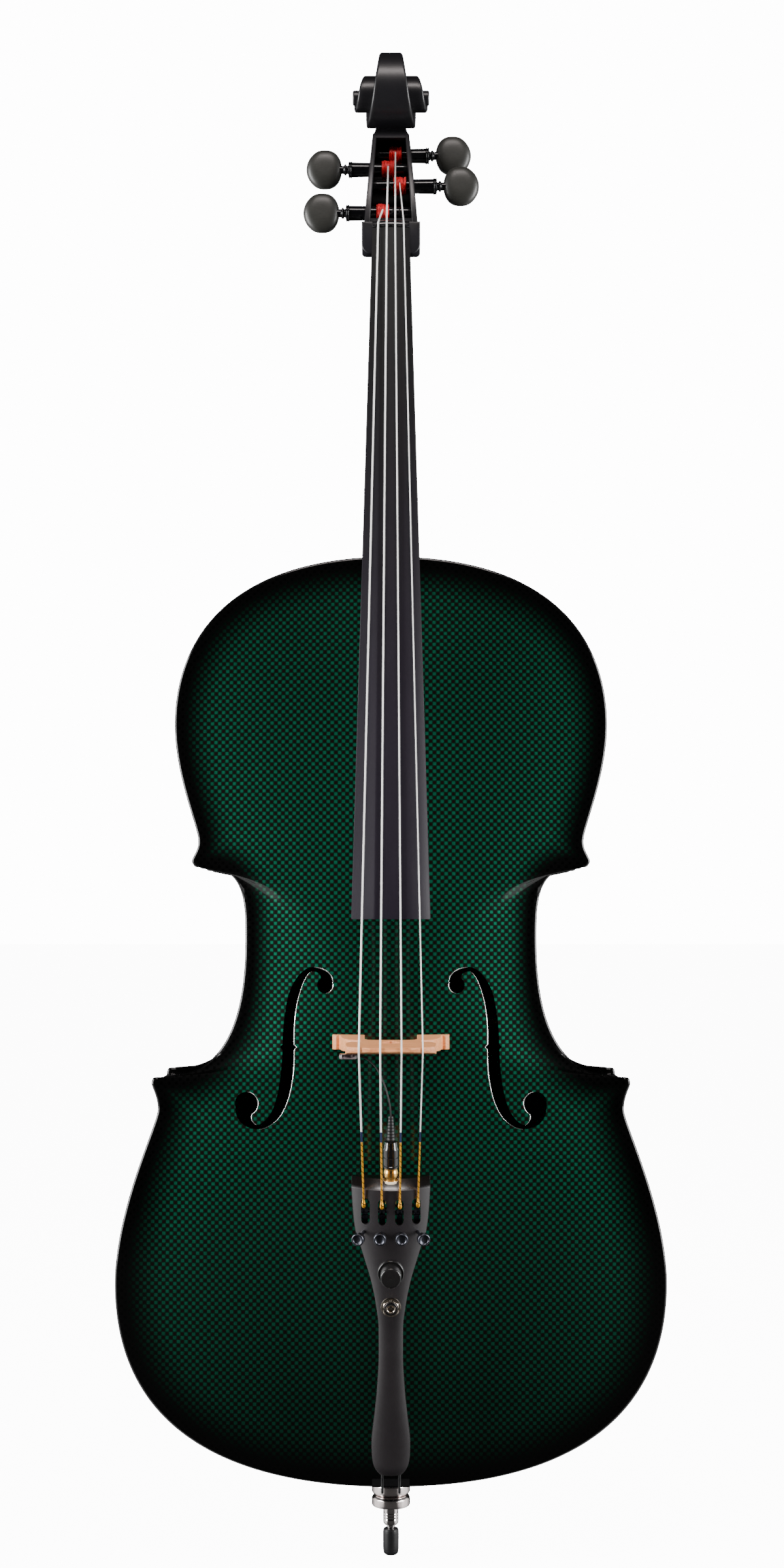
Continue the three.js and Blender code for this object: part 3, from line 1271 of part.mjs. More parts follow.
// Output jack: body under the wall, threaded sleeve through it, washer and hex nut on the face.
const jackHalf = tailHalf(jackHeight / tailLength) - tailWall;
const jackTop = tailTopWall + tailArchShare * jackHalf * (jackBodyDiameter / 2 / jackHalf) ** 2 + seat;
const washerTop = seat + jackWasherThickness;
const nutTop = washerTop + seat + jackNutThickness;
const jackBore = jackHoleDiameter / 2;
add("output_jack", turned([[jackBore, nutTop + 2 * seat], [jackBore, -jackTop - jackBodyLength + jackBore],
  [0, -jackTop - jackBodyLength + jackBore], [0, -jackTop - jackBodyLength],
  [jackBodyDiameter / 2, -jackTop - jackBodyLength], [jackBodyDiameter / 2, -jackTop],
  [jackSleeveDiameter / 2, -jackTop], [jackSleeveDiameter / 2, nutTop + 2 * seat], [jackBore, nutTop + 2 * seat]])
  .rotateX(Math.PI / 2).translate(0, 0, jackHeight), chrome, tail);
const ringOf = (outer, inner, from, to, sides, holeSides) =>
  cut(turned([[0, from], [outer, from], [outer, to], [0, to]], sides),
    turned([[0, from - overrun], [inner, from - overrun], [inner, to + overrun], [0, to + overrun]], holeSides));
const onSleeve = holeRadius(jackSleeveDiameter / 2, roundSides, seat);
const placeOnFace = (solid, z) => toGeometry(solid).rotateX(Math.PI / 2).translate(0, 0, z);
add("jack_washer", placeOnFace(ringOf(jackWasherDiameter / 2, onSleeve, seat, washerTop, roundSides, roundSides),
  jackHeight), chrome, tail);
add("jack_nut", placeOnFace(ringOf(jackNutSize / 2 / Math.cos(Math.PI / 6), onSleeve, washerTop + seat, nutTop, 6,
  roundSides), jackHeight), chrome, tail);

// Input socket in the head, and the plug that stands in it
const socketRadius = socketDiameter / 2;
const socketBore = holeRadius(plugPinDiameter / 2, roundSides, seat);
add("input_socket", turned([[0, socketFaceZ - socketLength], [socketRadius, socketFaceZ - socketLength],
  [socketRadius, socketFaceZ], [socketBore, socketFaceZ], [socketBore, socketFaceZ - plugPinLength - seat],
  [0, socketFaceZ - plugPinLength - seat]]).translate(0, plugAxisDepth, 0), brass, tail);
const rimTop = socketFaceZ + seat + plugRimLength;
const sleeveTop = rimTop + plugSleeveLength;
const barrelTop = sleeveTop + plugBarrelLength;
const bootTop = barrelTop + seat + bootLength;
add("plug_barrel", turned([[0, socketFaceZ - plugPinLength], [plugPinDiameter / 2, socketFaceZ - plugPinLength],
  [plugPinDiameter / 2, socketFaceZ + seat], [plugRimDiameter / 2, socketFaceZ + seat], [plugRimDiameter / 2, rimTop],
  [plugSleeveDiameter / 2, rimTop], [plugSleeveDiameter / 2, sleeveTop], [plugBarrelDiameter / 2, sleeveTop + 2 * seat],
  [plugBarrelDiameter / 2, barrelTop - 2 * seat], [plugBarrelDiameter / 2 - 2 * seat, barrelTop], [0, barrelTop]])
  .translate(0, plugAxisDepth, 0), brass, tail);
add("plug_boot", turned([[0, barrelTop + seat], [bootDiameter / 2, barrelTop + seat], [bootMouthDiameter / 2, bootTop],
  [0, bootTop]], smallSides).translate(0, plugAxisDepth, 0), cableBlack, tail);

tail.updateMatrixWorld(true);
const fromTail = (x, depth, z) => tail.localToWorld(new THREE.Vector3(x, depth, z));

// The pickup element sits on the bridge's tail face; its lead hangs in one open bend down to the plug.
const pickupY = crownTop + pickupDrop;
const pickupZ = bridgeTailZ - seat;
const pickupOutline = [];
for (const [right, up] of [[1, 1], [-1, 1], [-1, -1], [1, -1]]) {
  const [x, y] = [pickupX + right * pickupLength / 2, pickupY + up * pickupHeight / 2];
  const ends = [[x, y - up * pickupRound], [x - right * pickupRound, y]];
  pickupOutline.push(...(right * up > 0 ? ends : ends.reverse()));
}
const pickupShape = new THREE.Shape(pickupOutline.map(([x, y]) => new THREE.Vector2(x, y)));
add("bridge_pickup", new THREE.ExtrudeGeometry(pickupShape, { depth: pickupThickness, bevelEnabled: false })
  .translate(0, 0, pickupZ - pickupThickness), clearPlastic);

const leadStart = new THREE.Vector3(pickupX + pickupLength / 2 + seat, pickupY, pickupZ - pickupThickness / 2);
const leadEnd = fromTail(0, plugAxisDepth, bootTop + seat);
const leadRoute = [
  [-24.2, -139.3, 417.3], [-22.4, -139.4, 417], [-20, -139.6, 416.1], [-17.2, -139.9, 414.4], [-14.2, -140.4, 411.9],
  [-11.2, -141.1, 408.4], [-8.5, -142, 404], [-6.2, -142.9, 399.2], [-4.3, -143.8, 394.2], [-2.8, -144.5, 389.4],
  [-1.7, -144.8, 384.8], [-0.8, -144.5, 380.4], [-0.3, -143.9, 376.4], [-0.1, -143.3, 373.6],
];
console.log("lead from", leadStart.toArray(), "to", leadEnd.toArray());
add("pickup_lead", cord([leadStart, ...leadRoute.map((place) => new THREE.Vector3(...place)), leadEnd],
  leadDiameter / 2, leadSteps, leadSides), cableBlack);

// Strings run from the winding over the nut and the bridge to the fork of their tuner.
const nutStringY = (x, radius) => boardNutY - nutRise + boardSagitta(x) - radius - seat;
for (const { name, radius, place } of strings) {
  const peg = pegPlaces[name];
  const pegX = peg.windingX;
  const pegFront = peg.y - windingRadius(peg) - windingThread / 2 - radius - seat;
  const nutX = place * nutSpacing;
  const bridgeX = place * bridgeSpacing;
  const slotX = place * tailSpacing;
  const nutY = nutStringY(nutX, radius);
  const route = [
    new THREE.Vector3(pegX, pegFront, nutZ + peg.rise),
    new THREE.Vector3(nutX, nutY, nutZ + nutCrownLength),
    new THREE.Vector3(nutX, nutY, nutZ),
    new THREE.Vector3(bridgeX, bridgeCrownY(bridgeX) - radius - seat, crownTailZ + bridgeTopThickness),
    new THREE.Vector3(bridgeX, bridgeCrownY(bridgeX) - radius - seat, crownTailZ),
    fromTail(slotX, faceSinkAt(slotX, tailLength) - radius - seat, forkZ + forkThickness / 2 + seat),
  ];
  add(`string_${name}`, wire(route, radius), stringSteel);
  add(`winding_${name}`, winding(peg), silk);
  add(`peg_${name}`, pegGeometry(peg), blackWood);
}
console.log("least gap inside a winding:", Math.min(...Object.values(pegPlaces).map(leastWindingGap)).toFixed(2), "mm");

// Saddle and tailgut
const saddleFront = ribFront - edgeThickness - saddleDepth;
const saddleLow = bodyZ - edgeRound;
add("saddle", sideSlab([[ribFront, saddleLow], [saddleFront + 2 * edgeRound, saddleLow],
  [saddleFront, saddleLow + 2 * edgeRound], [saddleFront + edgeRound, saddleLow + 4 * edgeRound],
  [ribFront - edgeThickness - 3 * seat, bodyZ + saddleHeight], [ribFront, bodyZ + saddleHeight]],
  -saddleWidth / 2, saddleWidth / 2), blackWood);

const gutRadius = gutDiameter / 2;
const loopRadius = plugThroatDiameter / 2 + gutRadius + seat;
const loopZ = flangeTop + gutRadius + 2 * seat;
function gutSide(side) {
  const x = side * gutSpacing / 2;
  return [
    fromTail(x, gutDepth, gutHoleDepth - 2 * seat), fromTail(x, gutDepth, gutHoleDepth / 2),
    fromTail(x, gutDepth, 0), fromTail(x, gutDepth, -gutHoleDepth / 2),
    new THREE.Vector3(x, saddleFront - gutRadius - edgeRound, saddleLow + gutRadius),
    new THREE.Vector3(x, saddleFront + gutRadius, saddleLow - gutRadius - 2 * seat),
    new THREE.Vector3(x, ribFront + overhang, saddleLow - gutRadius - 3 * seat),
    new THREE.Vector3(x, -2.4 * loopRadius, loopZ),
    new THREE.Vector3(side * loopRadius * 0.85, -loopRadius * 0.75, loopZ),
    new THREE.Vector3(side * loopRadius * 1.02, 0, loopZ),
    new THREE.Vector3(side * loopRadius * 0.74, loopRadius * 0.74, loopZ),
  ];
}
add("tailgut", cord([...gutSide(-1), new THREE.Vector3(0, loopRadius * 1.04, loopZ), ...gutSide(1).reverse()],
  gutRadius, gutSteps, wireSides), cableBlack);

// Endpin
const boreRadius = holeRadius(rodDiameter / 2, roundSides, runningPlay);
const collarRadius = collarDiameter / 2;
const shoulderRadius = collarRadius - collarGroove / 2;
add("endpin_plug", turned([
  [boreRadius, flangeBottom], [collarRadius - collarGroove, flangeBottom],
  [collarRadius, flangeBottom + collarGroove], [collarRadius, flangeBottom + lockNutHeight],
  [shoulderRadius, flangeBottom + lockNutHeight + collarGroove / 2], [shoulderRadius, flangeTop],
  [plugThroatDiameter / 2, flangeTop], [plugThroatDiameter / 2, ribBottomZ], [plugMouthDiameter / 2, ribBottomZ + seat],
  [plugTopDiameter / 2, ribBottomZ + plugLength], [boreRadius, ribBottomZ + plugLength], [boreRadius, flangeBottom],
]), chrome);
add("endpin_lock_nut", turned([
  [boreRadius, lockNutBottom], [collarRadius - collarGroove / 2, lockNutBottom],
  [collarRadius, lockNutBottom + collarGroove / 2], [collarRadius, lockNutBottom + lockNutHeight - collarGroove],
  [collarRadius - collarGroove, lockNutBottom + lockNutHeight], [boreRadius, lockNutBottom + lockNutHeight],
  [boreRadius, lockNutBottom],
]), chrome);
const ferruleBottom = tipLength + pinNeckLength;
const ferruleTop = ferruleBottom + ferruleLength;
const ferruleRadius = ferruleDiameter / 2;
add("endpin_rod", turned([
  [0, tipLength - pinNeckInTip], [pinNeckDiameter / 2, tipLength - pinNeckInTip],
  [pinNeckDiameter / 2, ferruleBottom], [ferruleRadius - collarGroove / 2, ferruleBottom],
  [ferruleRadius, ferruleBottom + collarGroove], [ferruleRadius, ferruleTop], [rodDiameter / 2, ferruleTop],
  [rodDiameter / 2, ferruleTop + rodLength], [0, ferruleTop + rodLength],
]), chrome);
const tipBore = holeRadius(pinNeckDiameter / 2, roundSides, seat);
const tipRadius = tipDiameter / 2;
add("endpin_tip", turned([
  [0, 0], [tipSoleDiameter / 2, 0], [mix(tipSoleDiameter / 2, tipRadius, 0.75), tipLength * 0.07],
  [tipRadius * 0.97, tipLength * 0.2], [tipRadius, tipLength * 0.85], [tipRadius - 2 * seat, tipLength],
  [tipBore, tipLength], [tipBore, tipLength - pinNeckInTip - seat], [0, tipLength - pinNeckInTip - seat],
]), rubber);

export default cello;
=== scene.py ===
# %% [markdown]
# An electric cello, full size, upright on its endpin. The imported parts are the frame: every piece made here
# lies where the part it stands for lies, and rides on the same body. Lengths are written in millimetres and
# turned into metres when a mesh is made. +Z runs up the body and -Y faces the player's side.

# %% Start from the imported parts
import json
import math

import bmesh
import bpy
import numpy as np
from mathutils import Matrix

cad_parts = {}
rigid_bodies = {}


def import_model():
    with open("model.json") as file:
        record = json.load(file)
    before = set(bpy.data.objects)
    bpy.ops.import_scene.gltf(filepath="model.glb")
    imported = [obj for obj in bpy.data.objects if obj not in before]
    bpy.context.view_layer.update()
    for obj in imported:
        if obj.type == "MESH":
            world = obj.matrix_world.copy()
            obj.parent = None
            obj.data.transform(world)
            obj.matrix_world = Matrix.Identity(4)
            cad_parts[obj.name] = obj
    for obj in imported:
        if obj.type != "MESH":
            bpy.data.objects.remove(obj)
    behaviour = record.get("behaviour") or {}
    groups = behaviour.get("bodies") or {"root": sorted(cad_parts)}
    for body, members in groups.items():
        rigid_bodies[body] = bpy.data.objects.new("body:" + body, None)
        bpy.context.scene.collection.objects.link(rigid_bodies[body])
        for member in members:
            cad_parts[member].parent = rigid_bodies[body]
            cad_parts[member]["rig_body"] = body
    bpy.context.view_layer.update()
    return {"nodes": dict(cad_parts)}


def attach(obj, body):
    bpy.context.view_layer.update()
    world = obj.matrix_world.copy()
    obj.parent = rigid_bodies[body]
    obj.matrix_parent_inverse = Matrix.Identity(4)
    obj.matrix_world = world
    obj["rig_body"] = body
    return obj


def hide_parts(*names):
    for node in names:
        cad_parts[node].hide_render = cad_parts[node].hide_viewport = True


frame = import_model()
MM = 0.001
print("packed nodes:", len(frame["nodes"]))

# %% [markdown]
# A long lens from 1.8 metres keeps the cello's proportions. The camera stands a little above the body's middle
# and looks up by nearly four degrees, so that the scroll and the rubber foot both reach the picture's ends.

# %% Camera
camera = bpy.data.objects.new("camera", bpy.data.cameras.new("camera"))
bpy.context.scene.collection.objects.link(camera)
bpy.context.scene.camera = camera
camera.data.lens = 49.556
camera.data.sensor_width = 36.0
camera.location = (0.0009, -1.82235, 0.51825)
camera.rotation_euler = (math.radians(93.765), 0.0, 0.0)
print("camera at", tuple(camera.location))

# %% [markdown]
# Curves and surfaces all come from a few formulas. A table of measured places becomes a smooth line either
# by a curve that never overshoots its table, or by one that passes through each point of a route. A surface
# is a grid of points: rows of closed rings, skinned with four-sided faces and closed at both ends by a fan.


# %% Curves
def mix(a, b, share):
    """a + (b - a) * share"""
    return a + (b - a) * share


def hermite(t, gap, start, first, end, last):
    """(2t^3 - 3t^2 + 1) a + (t^3 - 2t^2 + t) g u + (3t^2 - 2t^3) b + (t^3 - t^2) g v, from a to b, slopes u and v."""
    return ((2 * t**3 - 3 * t**2 + 1) * start + (t**3 - 2 * t**2 + t) * gap * first
            + (3 * t**2 - 2 * t**3) * end + (t**3 - t**2) * gap * last)


def eased(at, table):
    """Cubic through (place, value) rows whose slopes are the harmonic mean of the steps beside each row."""
    places, values = np.asarray(table, float).T
    gaps = np.diff(places)
    rises = np.diff(values) / gaps
    slopes = np.concatenate([[rises[0]], np.zeros(len(rises) - 1), [rises[-1]]])
    product = rises[:-1] * rises[1:]
    level = np.where(np.abs(rises[:-1] + rises[1:]) < 1e-12, 1e-12, rises[:-1] + rises[1:])
    slopes[1:-1] = np.where(product > 0, 2 * product / level, 0)
    at = np.asarray(at, float)
    row = np.clip(np.searchsorted(places, at) - 1, 0, len(gaps) - 1)
    gap = gaps[row]
    t = np.clip((at - places[row]) / gap, 0, 1)
    return hermite(t, gap, values[row], slopes[row], values[row + 1], slopes[row + 1])


def through(points, count):
    """A smooth line through the points, by cubics over the square root of the chords, in equal steps."""
    points = np.asarray(points, float)
    chord = np.linalg.norm(np.diff(points, axis=0), axis=1)
    knots = np.concatenate([[0], np.cumsum(np.sqrt(chord))])
    gaps = np.diff(knots)[:, None]
    rises = np.diff(points, axis=0) / gaps
    inner = (rises[:-1] * gaps[1:] + rises[1:] * gaps[:-1]) / (gaps[:-1] + gaps[1:])
    slopes = np.concatenate([rises[:1], inner, rises[-1:]])
    at = np.linspace(0, knots[-1], 24 * count)
    row = np.clip(np.searchsorted(knots, at) - 1, 0, len(gaps) - 1)
    t = (at - knots[row])[:, None] / gaps[row]
    return even(hermite(t, gaps[row], points[row], slopes[row], points[row + 1], slopes[row + 1]), count)


def run_along(line):
    """How far along a line each of its points lies: the sum of the steps before it."""
    return np.concatenate([[0], np.cumsum(np.linalg.norm(np.diff(line, axis=0), axis=1))])


def even(line, count, closed=False):
    """The same line in equal steps of its own length."""
    line = np.asarray(line, float)
    run = run_along(line)
    at = np.linspace(0, run[-1], count, endpoint=not closed)
    return np.stack([np.interp(at, run, axis) for axis in line.T], axis=1)


def to_right(steps):
    """Each step of a flat line turned to its right and made one long: (y, -x) / length."""
    return np.stack([steps[:, 1], -steps[:, 0]], axis=1) / np.linalg.norm(steps, axis=1)[:, None]


def inset(loop, distance):
    """Each corner of a closed loop moved inwards, mitred; the loop runs clockwise."""
    n, m = to_right(loop - np.roll(loop, 1, axis=0)), to_right(np.roll(loop, -1, axis=0) - loop)
    return loop + (n + m) * distance / (1 + (n * m).sum(axis=1))[:, None]


def clockwise(loop):
    """The loop with its signed area negative."""
    loop = np.asarray(loop, float)
    x, y = loop.T
    area = (x * np.roll(y, -1) - np.roll(x, -1) * y).sum()
    return loop if area < 0 else loop[::-1]


# %% [markdown]
# Every shell is checked for the sign of its volume, so that its faces look outwards whichever way its rings
# were listed. Corners sharper than an angle stay crisp, and the rest is shaded smoothly.


# %% Surfaces
def skin(rings, ends=True, flat=False):
    """Faces between rings[r][c] and rings[r + 1][c + 1] all round, and a fan or one flat face at both ends."""
    rings = np.asarray(rings, float)
    rows, sides = rings.shape[:2]
    r, c = np.meshgrid(np.arange(rows - 1), np.arange(sides), indexing="ij")
    a, b = r * sides + c, r * sides + (c + 1) % sides
    faces = np.stack([a, b, b + sides, a + sides], axis=-1).reshape(-1, 4).tolist()
    points = rings.reshape(-1, 3)
    if flat:
        faces += [list(range(sides))[::-1], list(range((rows - 1) * sides, rows * sides))]
    elif ends:
        points = np.concatenate([points, rings[[0, -1]].mean(axis=1)])
        for ring, hub, step in ((0, rows * sides, 1), ((rows - 1) * sides, rows * sides + 1, -1)):
            one, two = np.arange(sides), (np.arange(sides) + 1) % sides
            pair = (two, one) if step == 1 else (one, two)
            faces += np.stack([np.full(sides, hub), ring + pair[0], ring + pair[1]], axis=1).tolist()
    return outward(points, faces)


def outward(points, faces):
    """The shell, its faces turned over if sum of a.(b x c) / 6 over them is negative."""
    fans = np.array([(f[0], f[i], f[i + 1]) for f in faces for i in range(1, len(f) - 1)])
    a, b, c = points[fans[:, 0]], points[fans[:, 1]], points[fans[:, 2]]
    if (a * np.cross(b, c)).sum() < 0:
        faces = [f[::-1] for f in faces]
    return points, faces


def lathe(profile, sides=64, axis="z"):
    """(radius * cos t, radius * sin t, height) for each row of the profile."""
    radius, height = np.asarray(profile, float).T
    t = np.arange(sides) / sides * 2 * np.pi
    x, y = np.outer(radius, np.cos(t)), np.outer(radius, np.sin(t))
    z = np.repeat(height[:, None], sides, axis=1)
    order = {"z": (x, y, z), "x": (z, x, y), "y": (y, -z, x)}[axis]
    return skin(np.stack(order, axis=-1))


def softened(profile, radius, steps=5):
    """A profile whose inner corners are replaced by small arcs of about that radius."""
    profile = np.asarray(profile, float)
    made = [profile[0]]
    for before, corner, after in zip(profile, profile[1:], profile[2:]):
        into, out = before - corner, after - corner
        reach = min(radius, np.linalg.norm(into) * 0.49, np.linalg.norm(out) * 0.49)
        start = corner + into / max(np.linalg.norm(into), 1e-9) * reach
        end = corner + out / max(np.linalg.norm(out), 1e-9) * reach
        t = np.linspace(0, 1, steps)[:, None]
        made += list((1 - t) ** 2 * start + 2 * t * (1 - t) * corner + t**2 * end)
    return np.array(made + [profile[-1]])


def sweep(line, radii, sides):
    """A round tube along a line: each ring is turned from the one before by no more than the line turns."""
    line = np.asarray(line, float)
    along = np.gradient(line, axis=0)
    along /= np.linalg.norm(along, axis=1)[:, None]
    across = np.cross(along[0], [1.0, 0.2, 0.1])
    radii = np.broadcast_to(radii, len(line))
    t = np.arange(sides) / sides * 2 * np.pi
    rings = []
    for place, way, radius in zip(line, along, radii):
        across = across - way * (across @ way)
        across /= np.linalg.norm(across)
        up = np.cross(way, across)
        rings.append(place + radius * (np.outer(np.cos(t), across) + np.outer(np.sin(t), up)))
    return skin(rings)


def flat_ring(loop, depth):
    """A flat loop as a ring of (x, y, depth)."""
    return np.column_stack([loop, np.full(len(loop), depth)])


def slab(outline, low, high, radius):
    """An outline drawn out from low to high, its two edges rounded: inset r(1 - sin a), depth r(1 - cos a)."""
    outline = clockwise(outline)
    turn = np.linspace(0, np.pi / 2, 5)
    rows = [(a, low + radius * (1 - math.cos(a))) for a in turn]
    rows += [(a, high - radius * (1 - math.cos(a))) for a in turn[::-1]]
    return skin([flat_ring(inset(outline, radius * (1 - math.sin(a))), depth) for a, depth in rows], flat=True)


def moved(shell, change):
    """The shell with its points passed through a function."""
    return outward(change(shell[0]), shell[1])


# %% [markdown]
# A piece takes its body from the part that it stands for, so it moves as that part does. Holes are cut and
# shells are joined with the Boolean modifier's manifold solver, which is quick on closed shells. It could stay
# live on the piece, but its result is kept at once, so that what is handed on is a plain mesh.


# %% Pieces
def joined(shells):
    """Several shells as one list of points and faces."""
    points, faces, start = [], [], 0
    for some, loops in shells:
        points.append(some)
        faces += [[i + start for i in loop] for loop in loops]
        start += len(some)
    return np.concatenate(points), faces


def mesh_object(name, shells):
    """A mesh object at the origin, in metres."""
    points, faces = joined(shells)
    mesh = bpy.data.meshes.new(name)
    mesh.from_pydata((points * MM).tolist(), [], faces)
    mesh.validate()
    made = bpy.data.objects.new(name, mesh)
    bpy.context.scene.collection.objects.link(made)
    return made


def combine(made, tools, operation="DIFFERENCE"):
    """Cuts the tools out of a mesh, or joins them to it, and keeps only the result."""
    for i, tool in enumerate(tools):
        cutter = mesh_object(f"tool_{i}", [tool])
        step = made.modifiers.new("cut", "BOOLEAN")
        step.operation = operation
        step.solver = "MANIFOLD"
        step.object = cutter
        bpy.context.view_layer.update()
        result = bpy.data.meshes.new_from_object(made.evaluated_get(bpy.context.evaluated_depsgraph_get()))
        if len(result.polygons) == 0:
            print("nothing left after tool", i, "of", made.name)
        made.modifiers.clear()
        made.data = result
        bpy.data.objects.remove(cutter)
    made.data.name = made.name


def points_of(made):
    """A mesh object's points in millimetres."""
    points = np.empty(len(made.data.vertices) * 3)
    made.data.vertices.foreach_get("co", points)
    return points.reshape(-1, 3) / MM


def mark(made, name, values):
    """Gives each point of a mesh a value that the finish reads."""
    made.data.attributes.new(name, "FLOAT", "POINT").data.foreach_set("value", np.asarray(values, np.float32))


def dress(made, material, nodes, sharp, rides_with=None):
    """Shades a mesh, gives it its finish and a part's body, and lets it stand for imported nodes."""
    made.data.materials.clear()
    made.data.materials.append(material)
    made.data.polygons.foreach_set("use_smooth", np.ones(len(made.data.polygons), bool))
    made.data.polygons.foreach_set("material_index", np.zeros(len(made.data.polygons), np.int32))
    made.data.set_sharp_from_angle(angle=math.radians(sharp))
    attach(made, frame["nodes"][rides_with or nodes[0]]["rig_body"])
    if nodes:
        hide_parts(*nodes)
    print(made.name, len(made.data.polygons), "faces")


# %% [markdown]
# Finishes are built from nodes only, with no pictures, so they hold at any distance. Small effects that several
# finishes share are groups: wear that unsettles a gloss, the grain of dark wood, the knurl on turned metal.
# What is the same all over a surface is set on the surface node itself, because an export reads it there.


# %% Node helpers
def wire(tree, made, values):
    """Links each value that is a socket to the input it names, and sets the input to any other value."""
    for key, value in values.items():
        if isinstance(value, bpy.types.NodeSocket):
            tree.links.new(value, made.inputs[key])
        else:
            made.inputs[key].default_value = value


def node(tree, kind, wires=None, **settings):
    """One node with its settings and inputs."""
    made = tree.nodes.new("ShaderNode" + kind)
    for key, value in settings.items():
        setattr(made, key, value)
    wire(tree, made, wires or {})
    return made


def maths(tree, operation, *values):
    """The result of one sum."""
    return node(tree, "Math", dict(enumerate(values)), operation=operation).outputs[0]


def between(tree, value, low, high, first=0.0, last=1.0):
    """first where value is low, last where it is high, eased in between."""
    return node(tree, "MapRange", {0: value, 1: low, 2: high, 3: first, 4: last},
                interpolation_type="SMOOTHSTEP").outputs[0]


def tint(tree, share, first, last):
    """A colour between two colours, each a socket or red, green and blue."""
    first, last = (c if isinstance(c, bpy.types.NodeSocket) else (*c, 1) for c in (first, last))
    return node(tree, "Mix", {0: share, 6: first, 7: last}, data_type="RGBA").outputs[2]


def noise(tree, place, scale, detail=2.0, roughness=0.5):
    """Soft noise from 0 to 1."""
    wires = {"Vector": place, "Scale": scale, "Detail": detail, "Roughness": roughness}
    return node(tree, "TexNoise", wires).outputs[0]


def stretched(tree, place, factors):
    """A place with each axis scaled."""
    return node(tree, "VectorMath", {0: place, 1: factors}, operation="MULTIPLY").outputs[0]


def group(name, inputs, outputs):
    """An empty shared effect with its sockets."""
    tree = bpy.data.node_groups.new(name, "ShaderNodeTree")
    for label, kind in inputs:
        tree.interface.new_socket(label, in_out="INPUT", socket_type="NodeSocket" + kind)
    for label, kind in outputs:
        tree.interface.new_socket(label, in_out="OUTPUT", socket_type="NodeSocket" + kind)
    return tree, tree.nodes.new("NodeGroupInput").outputs, tree.nodes.new("NodeGroupOutput").inputs


def use(tree, shared, wires):
    """A shared effect's outputs."""
    made = tree.nodes.new("ShaderNodeGroup")
    made.node_tree = shared
    wire(tree, made, wires)
    return made.outputs


def attribute(tree, name):
    """A value that the mesh carries at its points."""
    return node(tree, "Attribute", attribute_name=name).outputs["Fac"]


def axes(tree, place):
    """The X, Y and Z of a place."""
    return node(tree, "SeparateXYZ", {0: place}).outputs


def finish(name):
    """A new finish: its material, its tree, its surface node and the place on the object."""
    made = bpy.data.materials.new(name)
    made.use_nodes = True
    tree = made.node_tree
    place = tree.nodes.new("ShaderNodeTexCoord").outputs["Object"]
    return made, tree, tree.nodes["Principled BSDF"], place


def bump(tree, height, strength, distance):
    """A bumped normal."""
    return node(tree, "Bump", {"Height": height, "Strength": strength, "Distance": distance}).outputs[0]


# %% Shared effects
wear, wear_in, wear_out = group("handling_wear", [("Place", "Vector"), ("Roughness", "Float"), ("Amount", "Float")],
                                [("Roughness", "Float"), ("Mask", "Float")])
cloudy = noise(wear, wear_in["Place"], 35.0, 4.0, 0.6)
specks = noise(wear, stretched(wear, wear_in["Place"], (900.0, 900.0, 300.0)), 1.0, 2.0, 0.5)
uneven = maths(wear, "MULTIPLY_ADD", specks, 0.35, maths(wear, "MULTIPLY", cloudy, 0.65))
unsettled = maths(wear, "MULTIPLY_ADD", maths(wear, "SUBTRACT", uneven, 0.5), wear_in["Amount"], wear_in["Roughness"])
wear.links.new(unsettled, wear_out["Roughness"])
wear.links.new(uneven, wear_out["Mask"])

grain, grain_in, grain_out = group("dark_wood_grain", [("Place", "Vector"), ("Scale", "Float")],
                                   [("Mask", "Float"), ("Height", "Float")])
fibres = noise(grain, stretched(grain, grain_in["Place"], (1800.0, 1800.0, 54.0)), 1.0, 3.0, 0.6)
figure = noise(grain, stretched(grain, grain_in["Place"], (140.0, 140.0, 9.0)), 1.0, 4.0, 0.55)
shaded = maths(grain, "MULTIPLY_ADD", fibres, 0.45, maths(grain, "MULTIPLY", figure, 0.55))
grain.links.new(shaded, grain_out["Mask"])
grain.links.new(maths(grain, "MULTIPLY", fibres, grain_in["Scale"]), grain_out["Height"])

knurl, knurl_in, knurl_out = group("knurl", [("Place", "Vector"), ("Pitch", "Float"), ("Radius", "Float")],
                                   [("Height", "Float")])
parts = axes(knurl, knurl_in["Place"])
turn = maths(knurl, "MULTIPLY", maths(knurl, "ARCTAN2", parts["X"], parts["Y"]), knurl_in["Radius"])
lines = []
for way in ("ADD", "SUBTRACT"):
    spiral = maths(knurl, "DIVIDE", maths(knurl, way, turn, parts["Z"]), knurl_in["Pitch"])
    lines.append(maths(knurl, "PINGPONG", spiral, 0.5))
knurl.links.new(maths(knurl, "MULTIPLY", maths(knurl, "MINIMUM", *lines), 2.0), knurl_out["Height"])
print("shared effects:", [g.name for g in bpy.data.node_groups])


def worn(tree, place, roughness, amount):
    """A roughness that wanders by the amount, and the mask that it follows."""
    return use(tree, wear, {"Place": place, "Roughness": roughness, "Amount": amount})


def mottled(name, low, high, roughness, amount, others):
    """A whole finish: its colour lies between two colours, as its roughness does, and the rest is set."""
    made, tree, surface, place = finish(name)
    shine = worn(tree, place, roughness, amount)
    colour = tint(tree, shine["Mask"], low, high)
    wire(tree, surface, {"Base Color": colour, "Roughness": shine["Roughness"], **others})
    return made
